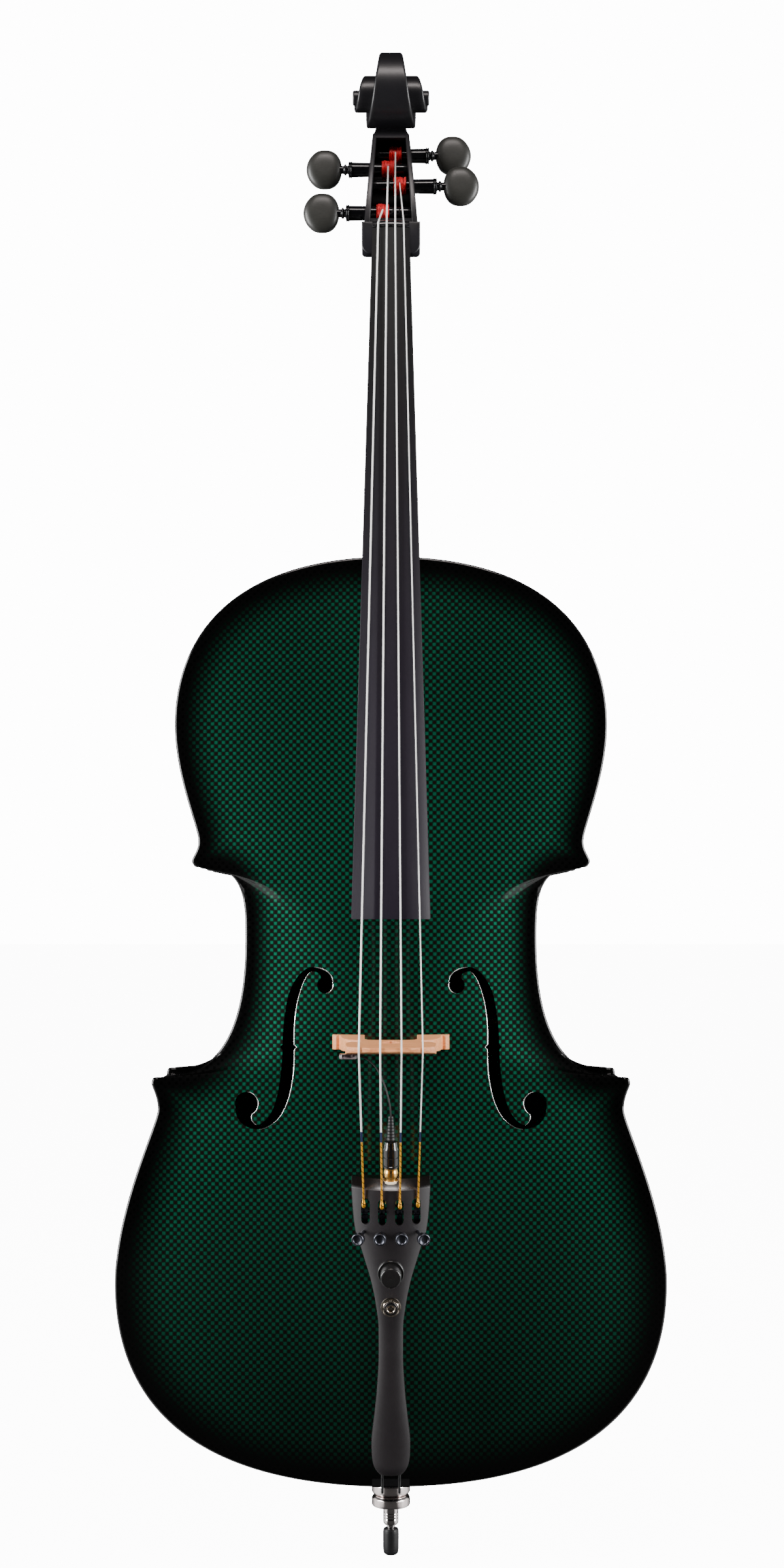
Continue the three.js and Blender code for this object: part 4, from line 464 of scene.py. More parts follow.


# %% [markdown]
# The plates carry a printed pattern like woven carbon under clear lacquer: bright green squares and dark
# reddish ones take turns, about 3 mm each, on nearly black green. A picture of the pattern would need a map of
# the surface, so it is worked out from the place instead: how far a point is from its cell's middle, and whether
# the sum of its row and column is even. A black burst closes in from the edge, painted on the mesh as a value
# that also carries painted shade, and a thick clear coat lies over all of it.

# %% Plate finish
CELL = 3.07 * MM
weave, weave_in, weave_out = group("woven_checker", [("Place", "Vector")],
                                   [("Bright", "Float"), ("Dull", "Float"), ("Height", "Float")])
parts = axes(weave, weave_in["Place"])
cells = [maths(weave, "DIVIDE", parts[axis], CELL) for axis in ("X", "Z")]
parity = maths(weave, "MODULO", maths(weave, "ADD", *(maths(weave, "FLOOR", v) for v in cells)), 2.0)
parity = maths(weave, "ABSOLUTE", parity)
off_middle = [maths(weave, "ABSOLUTE", maths(weave, "SUBTRACT", maths(weave, "FRACT", v), 0.5)) for v in cells]
square = maths(weave, "MULTIPLY", *(between(weave, off, 0.50, 0.24) for off in off_middle))
weave.links.new(maths(weave, "MULTIPLY", square, maths(weave, "LESS_THAN", parity, 0.5)), weave_out["Bright"])
weave.links.new(maths(weave, "MULTIPLY", square, maths(weave, "GREATER_THAN", parity, 0.5)), weave_out["Dull"])
weave.links.new(square, weave_out["Height"])

plate_finish, tree, surface, place = finish("green_weave_lacquer")
masks = use(tree, weave, {"Place": place})
# The burst value also carries painted shade by height and a painted shadow under the strings.
burst_and_shade = attribute(tree, "burst_and_shade")
dappled = between(tree, noise(tree, place, 420.0, 2.0), 0.3, 0.75, 0.84, 1.1)
colour = tint(tree, masks["Bright"], (0.0003, 0.0165, 0.0082), (0.0045, 0.150, 0.080))
colour = tint(tree, masks["Dull"], colour, (0.0062, 0.0026, 0.0018))
lit = maths(tree, "MULTIPLY", burst_and_shade, dappled)
colour = node(tree, "VectorMath", {0: colour, "Scale": lit}, operation="SCALE").outputs[0]
shine = worn(tree, place, 0.42, 0.1)
wire(tree, surface, {"Base Color": colour, "Roughness": shine["Roughness"], "Specular IOR Level": 0.05,
                     "Metallic": maths(tree, "MULTIPLY", masks["Bright"], 0.7),
                     "Coat Weight": 1.0, "Coat Roughness": 0.11, "Coat IOR": 1.45,
                     "Normal": bump(tree, maths(tree, "MULTIPLY", masks["Height"], burst_and_shade), 0.12, 0.0002)})

edge_finish = mottled("black_edge_lacquer", (0.0012, 0.0012, 0.0014), (0.004, 0.004, 0.0045), 0.16, 0.1,
                      {"Specular IOR Level": 0.4, "Coat Weight": 1.0, "Coat Roughness": 0.03})
print("cell", CELL)

# %% [markdown]
# Seen from the front, the body has an upper bout, a blunt corner, a waist, another corner and a lower bout. It
# could be traced, but a few named places with cubics between them keep each bout smooth and easy to change. Of a
# cubic's two handles, the first lies some share of the way on to the next place, the other of the way back.

# %% Body outline
BODY_Z, BODY_LENGTH, MIDDLE = 70.0, 752.0, 376.0
GLUE, EDGE, WALL, CROWN_TOP, CROWN_BACK, OVERHANG = 57.8, 4.5, 5, 24.0, 21.0, 3.4


def cubic(a, b, c, d, count):
    """(1 - t)^3 a + 3t (1 - t)^2 b + 3t^2 (1 - t) c + t^3 d, without its first point."""
    t = np.linspace(0, 1, count + 1)[1:, None]
    a, b, c, d = (np.asarray(p, float) for p in (a, b, c, d))
    return (1 - t) ** 3 * a + 3 * t * (1 - t) ** 2 * b + 3 * t**2 * (1 - t) * c + t**3 * d


UPPER, HOLLOW, TIP, LIP = (177.2, 614), (157.2, 517), (163, 501), (148, 496)
WAIST, LOW_LIP, LOW_TIP, LOW_HOLLOW, LOWER = (118.5, 437), (185.5, 326), (194.5, 321), (188.8, 300), (222.5, 162)
STRETCHES = [((0, 752), UPPER, (0.73, 0), (0, 0.53), 60), (UPPER, HOLLOW, (0, 0.45), (0, 0.12), 40),
             (HOLLOW, TIP, (0, 0.4), (0.4, 0.35), 12), (TIP, (160, 496), (0, 0), (0, 0), 1),
             ((160, 496), LIP, (0, 0), (0, 0), 1), (LIP, WAIST, (0.94, 0.04), (0, 0.57), 40),
             (WAIST, LOW_LIP, (0, 0.43), (0.88, 0), 50), (LOW_LIP, (193, 326), (0, 0), (0, 0), 1),
             ((193, 326), LOW_TIP, (0, 0), (0, 0), 1), (LOW_TIP, LOW_HOLLOW, (0.5, 0.35), (0, 0.4), 12),
             (LOW_HOLLOW, LOWER, (0, 0.08), (0, 0.43), 50), (LOWER, (0, 0), (0, 0.63), (0.68, 0), 70)]


def handle(a, b, shares):
    """The place at one share of the way from a to b in x and another in height."""
    return mix(a[0], b[0], shares[0]), mix(a[1], b[1], shares[1])


def half_outline():
    """(x, height) from the top middle clockwise to the bottom middle, and the two corners' row numbers."""
    rows = [cubic(a, handle(a, b, on), handle(b, a, back), b, count) for a, b, on, back, count in STRETCHES]
    ends = np.cumsum([len(row) for row in rows])
    return np.concatenate([[STRETCHES[0][0]], *rows]), int(ends[2]), int(ends[8])


half, upper_corner, lower_corner = half_outline()
SIDES = 960
right = even(half, SIDES // 2 + 1)
outline = np.concatenate([right, right[1:-1][::-1] * (-1, 1)])
outline = outline[:, 0] + 1j * outline[:, 1]
perimeter = np.abs(np.diff(np.append(outline, outline[0]))).sum()
waves = 2 * np.pi * np.fft.fftfreq(SIDES, perimeter / SIDES)


def relaxed(spread):
    """The outline blurred by a bell curve: each of its waves k times exp(-(k * spread)^2 / 2)."""
    loop = np.fft.ifft(np.fft.fft(outline) * np.exp(-((waves * spread) ** 2) / 2))
    return np.stack([loop.real, loop.imag], axis=1)


print("outline", round(perimeter), "mm round")

# %% [markdown]
# A plate is arched: from the edge, rings of the outline shrink towards a line along the middle and rise by
# crown (1 - s^2)^1.5, a little less at both ends. The rings are blurred more the further in they lie, so that
# the corners of the outline don't leave creases in the arch. The edge itself is a half round. The burst is a
# value from each point's distance to the outline, and its reach changes with the height. The same value carries
# painted shade: it is scaled darker towards the bottom and the top, and a painted shadow dims it along the
# middle, under the strings and the tailpiece.


# %% Plates
EDGE_BLUR = 1.1


def ring_line(share):
    """x * s, and height drawn to the middle by (0.62 to 1) with s; the blur grows by 72 mm to the spine."""
    x, height = relaxed(EDGE_BLUR + 72 * (1 - share) ** 1.15).T
    return x * share, mix(MIDDLE, height, mix(0.62, 1, share))


def arch(share, height):
    """(1 - s^2)^1.5 (0.55 + 0.45 cos(pi (h - m) / L)), the share of the crown at a height h."""
    return (1 - share**2) ** 1.5 * (0.55 + 0.45 * np.cos(np.pi * (height - MIDDLE) / BODY_LENGTH))


def plate(crown, side):
    """Inner rings, the glue plane, a half round edge and outer rings, from spine to spine."""
    def ring(share, taken):
        """A ring of the arch, with something taken off its depth, but not past the glue plane."""
        x, height = ring_line(share)
        depth = np.maximum(0, EDGE + crown * arch(share, height) - taken)
        return np.column_stack([x, side * (GLUE + depth), BODY_Z + height])
    edge = relaxed(EDGE_BLUR)
    rings = [ring(s, WALL) for s in (0.0, 0.15, 0.3, 0.45, 0.6, 0.75, 0.87, 0.95)]
    for angle in np.linspace(-90, 90, 9):
        a = math.radians(angle)
        x, height = inset(edge, EDGE / 2 * (1 - math.cos(a))).T
        depth = side * (GLUE + EDGE / 2 * (1 + math.sin(a)))
        rings.append(np.column_stack([x, np.full(SIDES, depth), BODY_Z + height]))
    rings += [ring(s, 0) for s in np.concatenate([[0.975, 0.96, 0.94], np.linspace(0.915, 0, 34)])]
    points, faces = skin(rings, ends=False)
    mirror = np.minimum(np.arange(SIDES), (SIDES - np.arange(SIDES)) % SIDES)
    same = np.arange(len(points))
    same[:SIDES] = mirror
    same[-SIDES:] = len(points) - SIDES + mirror
    loops = []
    for face in faces:
        face = [int(same[i]) for i in face]
        kept = [v for k, v in enumerate(face) if v != face[k - 1]]
        if len(kept) > 2:
            loops.append(kept)
    used = np.unique(same)
    renumber = np.zeros(len(points), int)
    renumber[used] = np.arange(len(used))
    return points[used], [[int(renumber[i]) for i in loop] for loop in loops]


BURST_START = 7
BURST_REACH = [(0, 40), (60, 44), (110, 46), (200, 44), (320, 36), (437, 24), (520, 30), (640, 36), (752, 40)]
# Painted shade: this table scales the burst's value down towards the bottom and the top of the body.
SHADE_BY_HEIGHT = [(0, 0.36), (60, 0.46), (120, 0.62), (200, 0.76), (330, 0.92), (430, 1.0), (560, 0.95), (660, 0.75),
               (752, 0.55)]


def paint_burst_and_shade(made):
    """t^2 (3 - 2t) with t from 0 at 7 mm in to 1 at the reach, times painted shade by height, and painted shadow under
    the strings.
    """
    places = points_of(made)
    height = places[:, 2] - BODY_Z
    flat = places[:, 0] + 1j * height
    steps = [np.abs(part[:, None] - outline[None, ::2]).min(axis=1) for part in np.array_split(flat, 40)]
    t = np.clip((np.concatenate(steps) - BURST_START) / (eased(height, BURST_REACH) - BURST_START), 0, 1)
    # Painted shadow: darker along the middle, under the strings and the tailpiece.
    shadow = 1 - 0.35 * np.exp(-((places[:, 0] / 34) ** 2)) * (height < 470)
    mark(made, "burst_and_shade", t * t * (3 - 2 * t) * eased(height, SHADE_BY_HEIGHT) * shadow)


# %% [markdown]
# Each f-hole is one stem that swells and thins along its curve, a small eye above, a large eye below and a
# notch on both sides of the stem where the bridge stands. It could be drawn by hand; here a short table gives
# the stem's middle line and half width as shares of the hole's height. The four shapes are cutters for the plate.


# %% f-holes
F_HEIGHT, F_X, F_Z = 129.0, 79.0, 421.0
F_STEM = np.array([
    (-0.2105, 0.405, 0.042), (-0.2065, 0.437, 0.0345), (-0.176, 0.4715, 0.0185), (-0.116, 0.484, 0.014),
    (-0.064, 0.445, 0.022), (-0.011, 0.34, 0.032), (0.017, 0.207, 0.033), (0.027, 0.083, 0.035),
    (0.027, -0.058, 0.038), (0.039, -0.206, 0.039), (0.066, -0.33, 0.036), (0.11, -0.423, 0.029),
    (0.178, -0.483, 0.0185), (0.228, -0.4935, 0.0135), (0.2835, -0.458, 0.034), (0.3005, -0.4079, 0.055),
    (0.2895, -0.366, 0.0705)])
F_EYES = [((-0.2023, 0.3857), 6.5), ((0.287, -0.351), 9.5)]
F_ROOM_X, F_ROOM_Z = 48, 72


def upright(shell):
    """A slab drawn in (x, z) with its depth along y."""
    return moved(shell, lambda p: p[:, [0, 2, 1]])


def flat_tool(loop, low, high):
    """A closed loop in (x, z) drawn out along y from low to high."""
    return upright(skin([flat_ring(clockwise(loop), depth) for depth in (low, high)]))


def f_hole(side):
    """Tools for one f-hole: a stem that is place +- width * normal, two round eyes and a notch."""
    line = through(F_STEM, 90)
    place, width = line[:, :2] * F_HEIGHT, line[:, 2:] * F_HEIGHT
    normal = -to_right(np.gradient(place, axis=0))
    loops = [np.concatenate([place + normal * width, (place - normal * width)[::-1]])]
    t = np.arange(72) / 72 * 2 * np.pi
    for centre, radius in F_EYES:
        loops.append(np.array(centre) * F_HEIGHT + radius * np.stack([np.cos(t), np.sin(t)], axis=1))
    middle, reach = 0.027 * F_HEIGHT, 0.035 * F_HEIGHT + 2.4
    loops.append(np.array([(middle - reach, 0), (middle - 2, -5), (middle + 2, -5), (middle + reach, 0),
                           (middle + 2, 5), (middle - 2, 5)]))
    placed = [np.stack([side * (F_X + loop[:, 0]), F_Z + loop[:, 1]], axis=1) for loop in loops]
    return [flat_tool(loop, -100.0, -50.0) for loop in placed]


# %% [markdown]
# The lacquer's edge round an f-hole is a small rounded lip that catches the light. Bevelling the cut plate would
# disturb its arch, so a thin rim of pale, nearly mirror-bright metal is laid as a painted highlight along those
# sharp edges of the face that have the hole on their outer side. They are looked up on the cut mesh, strung into
# chains and swept as tubes that taper to both ends.


# %% Top plate
def hole_lips(made, side):
    """The sharp edges of a hole on the face, as chains of points, where the hole lies outwards of them."""
    shape = bmesh.new()
    shape.from_mesh(made.data)
    beside = {}
    for edge in shape.edges:
        at = edge.verts[0].co
        near = at.x * side > 0 and abs(abs(at.x) / MM - F_X) < F_ROOM_X and abs(at.z / MM - F_Z) < F_ROOM_Z
        if not near or len(edge.link_faces) != 2 or edge.calc_face_angle(0) <= 0.9:
            continue
        face, wall = sorted(edge.link_faces, key=lambda f: f.normal.y)
        outside = min(v.co.y for v in edge.verts) / MM <= -GLUE - EDGE - 0.2
        if outside and face.normal.y <= -0.7 and wall.normal.x * side > 0.1:
            for a, b in (edge.verts, reversed(edge.verts)):
                beside.setdefault(a.index, {"at": np.array(a.co) / MM, "next": []})["next"].append(b.index)
    chains, seen = [], set()
    for first in sorted(beside, key=lambda i: (len(beside[i]["next"]), i)):
        if first in seen:
            continue
        chain, here = [], first
        while here is not None:
            seen.add(here)
            chain.append(beside[here]["at"])
            here = next((i for i in beside[here]["next"] if i not in seen), None)
        if len(chain) > 5:
            chains.append(np.array(chain))
    shape.free()
    return chains


top = mesh_object("lacquered_top", [plate(CROWN_TOP, -1)])
combine(top, [tool for side in (-1, 1) for tool in f_hole(side)])
lips = [chain for side in (-1, 1) for chain in hole_lips(top, side)]
paint_burst_and_shade(top)
dress(top, plate_finish, ["top_plate"], sharp=50)
# Painted highlight: pale, nearly mirror metal stands for the gleam on the black lacquer's lip.
highlight_lip_finish = mottled("painted_highlight_lip", (0.75, 0.78, 0.76), (0.9, 0.92, 0.9), 0.12, 0.08,
                     {"Metallic": 0.9, "Coat Weight": 1.0, "Coat Roughness": 0.03})
strips = []
for chain in lips:
    line = even(chain, max(12, int(run_along(chain)[-1] / 0.9)))
    share = np.linspace(0, 1, len(line))
    strips.append(sweep(line, 0.12 + 0.24 * np.minimum(1, 4 * np.minimum(share, 1 - share)), 8))
print("lips", len(strips))
dress(mesh_object("f_hole_lips", strips), highlight_lip_finish, [], sharp=60, rides_with="top_plate")

# %% [markdown]
# The back has the top's outline, a lower arch and no holes. At its top stands the button, a small half round
# that holds the neck's heel. It is a plate of its own here, joined to the back so that no seam shows.

# %% Back plate
button = [(14 * math.cos(a), 820.8 + 14 * math.sin(a)) for a in np.linspace(0, np.pi, 33)] + [(-14, 815), (14, 815)]
back = mesh_object("lacquered_back", [plate(CROWN_BACK, 1)])
combine(back, [upright(slab(np.array(button), 57.8, 62.3, 1.0))], "UNION")
paint_burst_and_shade(back)
dress(back, plate_finish, ["back_plate"], sharp=50)

# %% [markdown]
# The ribs are thin strips of wood bent to the outline, set in under the plates' overhang, and lacquered black.
# A solidified line would do for a straight one, but at a corner the moved line folds over itself. So the line
# is worked out point by point, and points that come nearer to the outline than the overhang are left out.

# %% Ribs
RIB_HALF, RIB_WALL, LAST = 57.2, 1.7, 1599
fine_half = even(half, LAST + 1)
run = run_along(half)
corners = [int(round(run[i] / run[-1] * LAST)) for i in (upper_corner, lower_corner)]


def rib(low, high, side):
    """The outline moved in by the overhang, and again by the rib's wall, between the plates' glue planes."""
    line = fine_half[low:high + 1]
    normal = to_right(np.gradient(line, axis=0))
    outer = line + normal * OVERHANG
    gaps = (outer[:, 0] + 1j * outer[:, 1])[:, None] - (fine_half[:, 0] + 1j * fine_half[:, 1])[None]
    kept = np.abs(gaps).min(axis=1) > OVERHANG - 0.06
    outer, normal = outer[kept][::2], normal[kept][::2]
    inner = outer + normal * RIB_WALL
    section = ((outer, -RIB_HALF), (outer, RIB_HALF), (inner, RIB_HALF), (inner, -RIB_HALF))
    lines = [np.column_stack([side * at[:, 0], np.full(len(at), y), BODY_Z + at[:, 1]]) for at, y in section]
    return skin(np.stack(lines, axis=1))


for label, low, high in (("upper", 0, corners[0]), ("waist", *corners), ("lower", corners[1], LAST)):
    for word, side in (("left", -1), ("right", 1)):
        strip = mesh_object(f"{label}_strip_{word}", [rib(low, high, side)])
        dress(strip, edge_finish, [f"{label}_rib_{word}"], sharp=35)

# %% [markdown]
# Neck, pegbox and scroll are carved from one piece and stained black with a satin sheen. The nut is polished
# and the saddle is left dull. A flat black would look like plastic, so the stain varies over a fine straight
# grain. Below the nut the neck is coloured a little lighter and bluer. In the pegbox's hollow, which the mesh
# marks, painted shade makes it darker, and it has no sheen.

# %% Black wood
NUT_EDGES = 1.1035, 1.0975


def black_wood(name, low, high, roughness, coat, height, gloss=0.35, coat_roughness=0.18, below_nut_tint=None):
    """Dark stain over a fine straight grain; what the mesh marks as hollow gets painted shade, darker and dull."""
    made, tree, surface, place = finish(name)
    marks = use(tree, grain, {"Place": place, "Scale": 1.0})
    shine = worn(tree, place, roughness, 0.12)
    # Painted shade: the marked hollow is coloured nearly black and loses its gloss.
    hollow = attribute(tree, "hollow")
    wood = tint(tree, marks["Mask"], low, high)
    # Below the nut the neck is coloured a little lighter and bluer.
    if below_nut_tint:
        wood = tint(tree, between(tree, axes(tree, place)["Z"], *NUT_EDGES), wood, below_nut_tint)
    wire(tree, surface, {"Base Color": tint(tree, hollow, wood, (0.0006, 0.0006, 0.0007)),
                         "Roughness": maths(tree, "MULTIPLY_ADD", hollow, 0.5, shine["Roughness"]),
                         "Specular IOR Level": gloss, "Coat Roughness": coat_roughness,
                         "Coat Weight": maths(tree, "MULTIPLY_ADD", hollow, -coat, coat),
                         "Normal": bump(tree, marks["Height"], height, 0.0001)})
    return made


head_finish = black_wood("satin_black_wood", (0.004, 0.004, 0.005), (0.009, 0.008, 0.01), 0.38, 0.35, 0.15,
                         coat_roughness=0.3, below_nut_tint=(0.0085, 0.0082, 0.012))
board_finish, tree, surface, place = finish("oiled_board")
marks = use(tree, grain, {"Place": place, "Scale": 1.0})
# Painted sheen: the board is coloured lighter and more lilac towards its lower end.
rub_and_sheen = between(tree, axes(tree, place)["Z"], 1.05, 0.62)
low = tint(tree, rub_and_sheen, (0.0015, 0.0015, 0.002), (0.009, 0.007, 0.012))
high = tint(tree, rub_and_sheen, (0.003, 0.003, 0.0035), (0.019, 0.014, 0.023))
wire(tree, surface, {"Base Color": tint(tree, marks["Mask"], low, high), "Specular IOR Level": 0.22,
                     "Roughness": worn(tree, place, 0.42, 0.12)["Roughness"],
                     "Normal": bump(tree, marks["Height"], 0.3, 0.0001)})
nut_finish = black_wood("polished_nut", (0.008, 0.008, 0.009), (0.014, 0.013, 0.014), 0.2, 1.0, 0.05,
                        coat_roughness=0.04)
print("black woods made")

# %% [markdown]
# The neck's section is a deep D that grows down its length and sweeps back into the heel. Its front lies on
# the plane under the fingerboard. Sections stacked along the neck give the sweep of the heel from one table,
# which a subdivided block would only reach by pushing points about.

# %% Neck
NUT_Z, BOARD_END, NECK_LENGTH, HEAD, BOARD_ROUND = 1100.5, 523.5, 278.5, 130.8, 62


def down(z):
    """0 at the nut, 1 at the fingerboard's end."""
    return (NUT_Z - np.asarray(z, float)) / (NUT_Z - BOARD_END)


def board_half(z):
    """Half the fingerboard's width, from 15.55 to 30.9."""
    return mix(31.1, 61.8, down(z)) / 2


def board_top(z):
    """The ridge of the fingerboard, in y."""
    return mix(-57, -148, down(z))


def sagitta(x):
    """How far a round of radius R has fallen at x: R - sqrt(R^2 - x^2)."""
    return BOARD_ROUND - np.sqrt(BOARD_ROUND**2 - np.asarray(x, float) ** 2)


def board_base(z):
    """The flat underside, 5.6 below the fingerboard's long edges."""
    return board_top(z) + mix(float(sagitta(15.55)) + 5.6, float(sagitta(30.9)) + 5.6, down(z))


def neck_shaft():
    """x = w cos a, y = front + depth sin(a)^0.85 for a from 0 to pi"""
    rings = []
    heel = [(0, 0), (0.3, 0), (0.6, 0), (0.78, 0.0), (0.86, 0.08), (0.91, 0.22), (0.95, 0.48), (0.98, 0.84), (1, 1)]
    angle = np.linspace(0, np.pi, 49)
    for share in np.concatenate([np.linspace(0, 0.74, 12), np.linspace(0.76, 1, 40), [1.025]]):
        z = NUT_Z - share * NECK_LENGTH
        front = board_base(z) + 0.3
        back = mix(board_base(z) + mix(21, 25, min(share, 1)), RIB_HALF, float(eased(min(share, 1), heel)))
        half_width = board_half(z)
        rings.append(np.column_stack([half_width * np.cos(angle), front + (back - front) * np.sin(angle) ** 0.85,
                                      np.full(49, z)]))
    return skin(rings)


def pegbox_half(z):
    """Half the pegbox's width: straight from 22.3 to 15.6 at the throat, then to 9 under the scroll."""
    rise = np.asarray(z, float) - NUT_Z
    lower = mix(44.6, 31.2, (rise - 8) / 84) / 2
    return np.where(rise < 92, lower, mix(31.2, 18, (rise - 92) / (HEAD - 92)) / 2)


BOX_BACK = [(-0.191, -0.206), (-0.1, -0.157), (-0.03, -0.085), (0.076, -0.05), (0.459, 0.031), (0.688, 0.088),
            (0.82, 0.155), (0.92, 0.235), (1.0, 0.264)]
BOX_FRONT = [(-0.191, -0.36), (-0.05, -0.371), (0.061, -0.371), (0.7, -0.161), (0.745, -0.075), (0.8, 0.008),
             (1.0, 0.046)]
BOX_FLOOR = [(0.05, -0.12), (0.076, -0.115), (0.459, -0.03), (0.6, 0.01), (0.675, -0.01), (0.7, -0.02)]


def pegbox_wall(share):
    """The thickness of the pegbox's cheeks, from 4.8 down to 3.2."""
    return mix(4.8, 3.2, share * HEAD / 92)


def pegbox():
    """A U-shaped section at each height: outer walls, rounded back corners, and a cavity between the walls."""
    rings = []
    heights = np.concatenate([np.linspace(-0.18, 0.07, 10), [0.0755, 0.0765], np.linspace(0.09, 0.66, 30),
                              [0.6745, 0.6755], np.linspace(0.69, 0.98, 26)])
    turn = np.linspace(0, np.pi / 2, 6)
    for share in heights:
        z = NUT_Z + share * HEAD
        w = float(pegbox_half(z)) * (1 - 0.6 * min(1, max(0, -share / 0.18)) ** 1.6)
        y_front, y_back = (float(eased(share, table)) * HEAD for table in (BOX_FRONT, BOX_BACK))
        inside = 0.076 < share < 0.675
        floor = float(eased(share, BOX_FLOOR)) * HEAD if inside else y_front + 0.4
        wall = pegbox_wall(share)
        r = min(5.0, w * 0.5)
        lip = 0.9
        right_side = [(w - wall, floor), (w - wall, y_front + lip * 0.7), (w - wall + lip * 0.7, y_front),
                      (w - lip, y_front), (w - lip * 0.3, y_front + lip * 0.3), (w, y_front + lip)]
        right_side += [(w - r + r * math.cos(a), y_back - r + r * math.sin(a)) for a in turn]
        rings.append(flat_ring(np.array(right_side + [(-x, y) for x, y in right_side[::-1]]), z))
    return skin(rings)


def cheeks():
    """A block with two rounded lower corners that stands on both sides of the nut."""
    t = np.linspace(0, np.pi / 2, 12)
    right = [(24.5 - 8 + 8 * math.cos(a), NUT_Z - 21.5 + 8 - 8 * math.sin(a)) for a in t]
    loop = np.array([(24.5, NUT_Z + 6)] + right + [(-x, z) for x, z in right[::-1]] + [(-24.5, NUT_Z + 6)])
    front = float(board_base(NUT_Z - 21.5)) + 0.3
    points, faces = upright(slab(even(np.vstack([loop, loop[:1]]), 120, True), front, front + 33, 1.2))
    low = np.clip((NUT_Z + 2 - points[:, 2]) / 23.5, 0, 1)
    depth = mix(1, 0.16, 1 - np.sqrt(np.clip(1 - low**2.2, 0, 1)))
    return outward(np.column_stack([points[:, 0], front + (points[:, 1] - front) * depth, points[:, 2]]), faces)


# %% [markdown]
# The scroll winds two turns about its eye. Its rim's radius falls and its width grows along the turns, and
# each side face is hollowed a little between the rim's chamfer and the core. A carved spiral like this could be
# sculpted, but one section that is turned about the eye, with its radius and width from a table, gives clean
# turns. It is made in three stretches, so that no stretch meets itself where two turns touch.

# %% Scroll
VOLUTE = np.array([
    (0, 0.958, 0.27), (45, 0.99, 0.27), (90, 1, 0.275), (135, 0.94, 0.33), (180, 0.853, 0.43), (225, 0.76, 0.54),
    (270, 0.68, 0.63), (315, 0.625, 0.65), (360, 0.577, 0.665), (450, 0.501, 0.7), (540, 0.415, 0.84),
    (630, 0.333, 0.94), (720, 0.244, 0.98)])
EYE_Y, EYE_Z, SCROLL_R, SCROLL_W = -2.0, 1231.3, 38.1, 33.0
EYE_R = 0.165 * SCROLL_R


def volute(start, end):
    """At angle t the rim stands R(t) from the eye and the side W(t) from the middle plane."""
    rings = []
    for angle in np.arange(start, end + 0.1, 3.0):
        radius = float(eased(angle, VOLUTE[:, [0, 1]])) * SCROLL_R
        w = float(eased(angle, VOLUTE[:, [0, 2]])) * SCROLL_W
        depth = np.array([0, 0.3, 0.55, 0.75, 0.88, 0.95])
        side_r = mix(EYE_R * 0.4, radius - 1.6, depth)
        side_x = w - 1.6 * np.sin(np.pi * np.clip((depth - 0.05) / 0.9, 0, 1))
        rim = [(radius - 1.6, w), (radius - 0.9, w - 0.2), (radius - 0.3, w - 0.8), (radius, w - 1.7),
               (radius + 0.02, w * 0.86 - 1.2), (radius, w * 0.66), (radius - 0.02, w * 0.45),
               (radius - 0.02, w * 0.22), (radius, w * 0.05)]
        right = list(zip(side_r, side_x)) + rim
        section = right + [(r, -x) for r, x in right[::-1]]
        a = math.radians(angle)
        rings.append([(x, EYE_Y + r * math.cos(a), EYE_Z + r * math.sin(a)) for r, x in section])
    return skin(rings)


def scroll_eye():
    """A round pin through the scroll, its ends' edges softened."""
    profile = softened([(0, -SCROLL_W), (EYE_R, -SCROLL_W), (EYE_R, SCROLL_W), (0, SCROLL_W)], 1.6)
    return moved(lathe(profile, 48, "x"), lambda p: p + (0, EYE_Y, EYE_Z))


# %% [markdown]
# Pegs are turned and then carved: a tapered shaft, a ring with two lips, a beaded neck, and a thumb piece that
# is a flattened oval, smooth and full like a lens. The shaft is one profile spun about its axis. The thumb
# piece is rings that grow and shrink from face to face, so it has no sharp rim. Years of fingers leave the thumb
# pieces greyer and duller than the shafts, and the mesh marks which is which.

# %% Pegs
PEGS = {
    "c": {"side": -1, "y": -34.008, "z": 1119.204, "outside": 0.105 * HEAD, "winding": -6.99},
    "g": {"side": -1, "y": -17.004, "z": 1162.695, "outside": 0.118 * HEAD, "winding": -2.5},
    "d": {"side": 1, "y": -6.998, "z": 1178.496, "outside": 0.101 * HEAD, "winding": 3.81},
    "a": {"side": 1, "y": -24.983, "z": 1145.495, "outside": 0.128 * HEAD, "winding": 7.49},
}


def peg_reaches(peg):
    """Along the shaft: its far end, the ring's near face, and the pegbox's side."""
    half_width = float(pegbox_half(peg["z"]))
    return -half_width + 0.3, half_width + peg["outside"], half_width


def peg_radius(reach, ring):
    """A taper from 4.7 at the far side to 6.2 at the ring."""
    return mix(12.4, 9.4, (ring - reach) / (2 * ring)) / 2


def to_peg(shell, peg):
    """Turns a shell made along +X to the peg's side and place."""
    return moved(shell, lambda p: p * (peg["side"], peg["side"], 1) + (0, peg["y"], peg["z"]))


def peg_hole(peg):
    """The shaft's taper with 0.33 of room, as a cutter."""
    far, ring, near = peg_reaches(peg)
    ends = [(peg_radius(reach, ring) + 0.33, reach) for reach in (far - 4, near + 3)]
    return to_peg(lathe([(0, far - 4), *ends, (0, near + 3)], 48, "x"), peg)


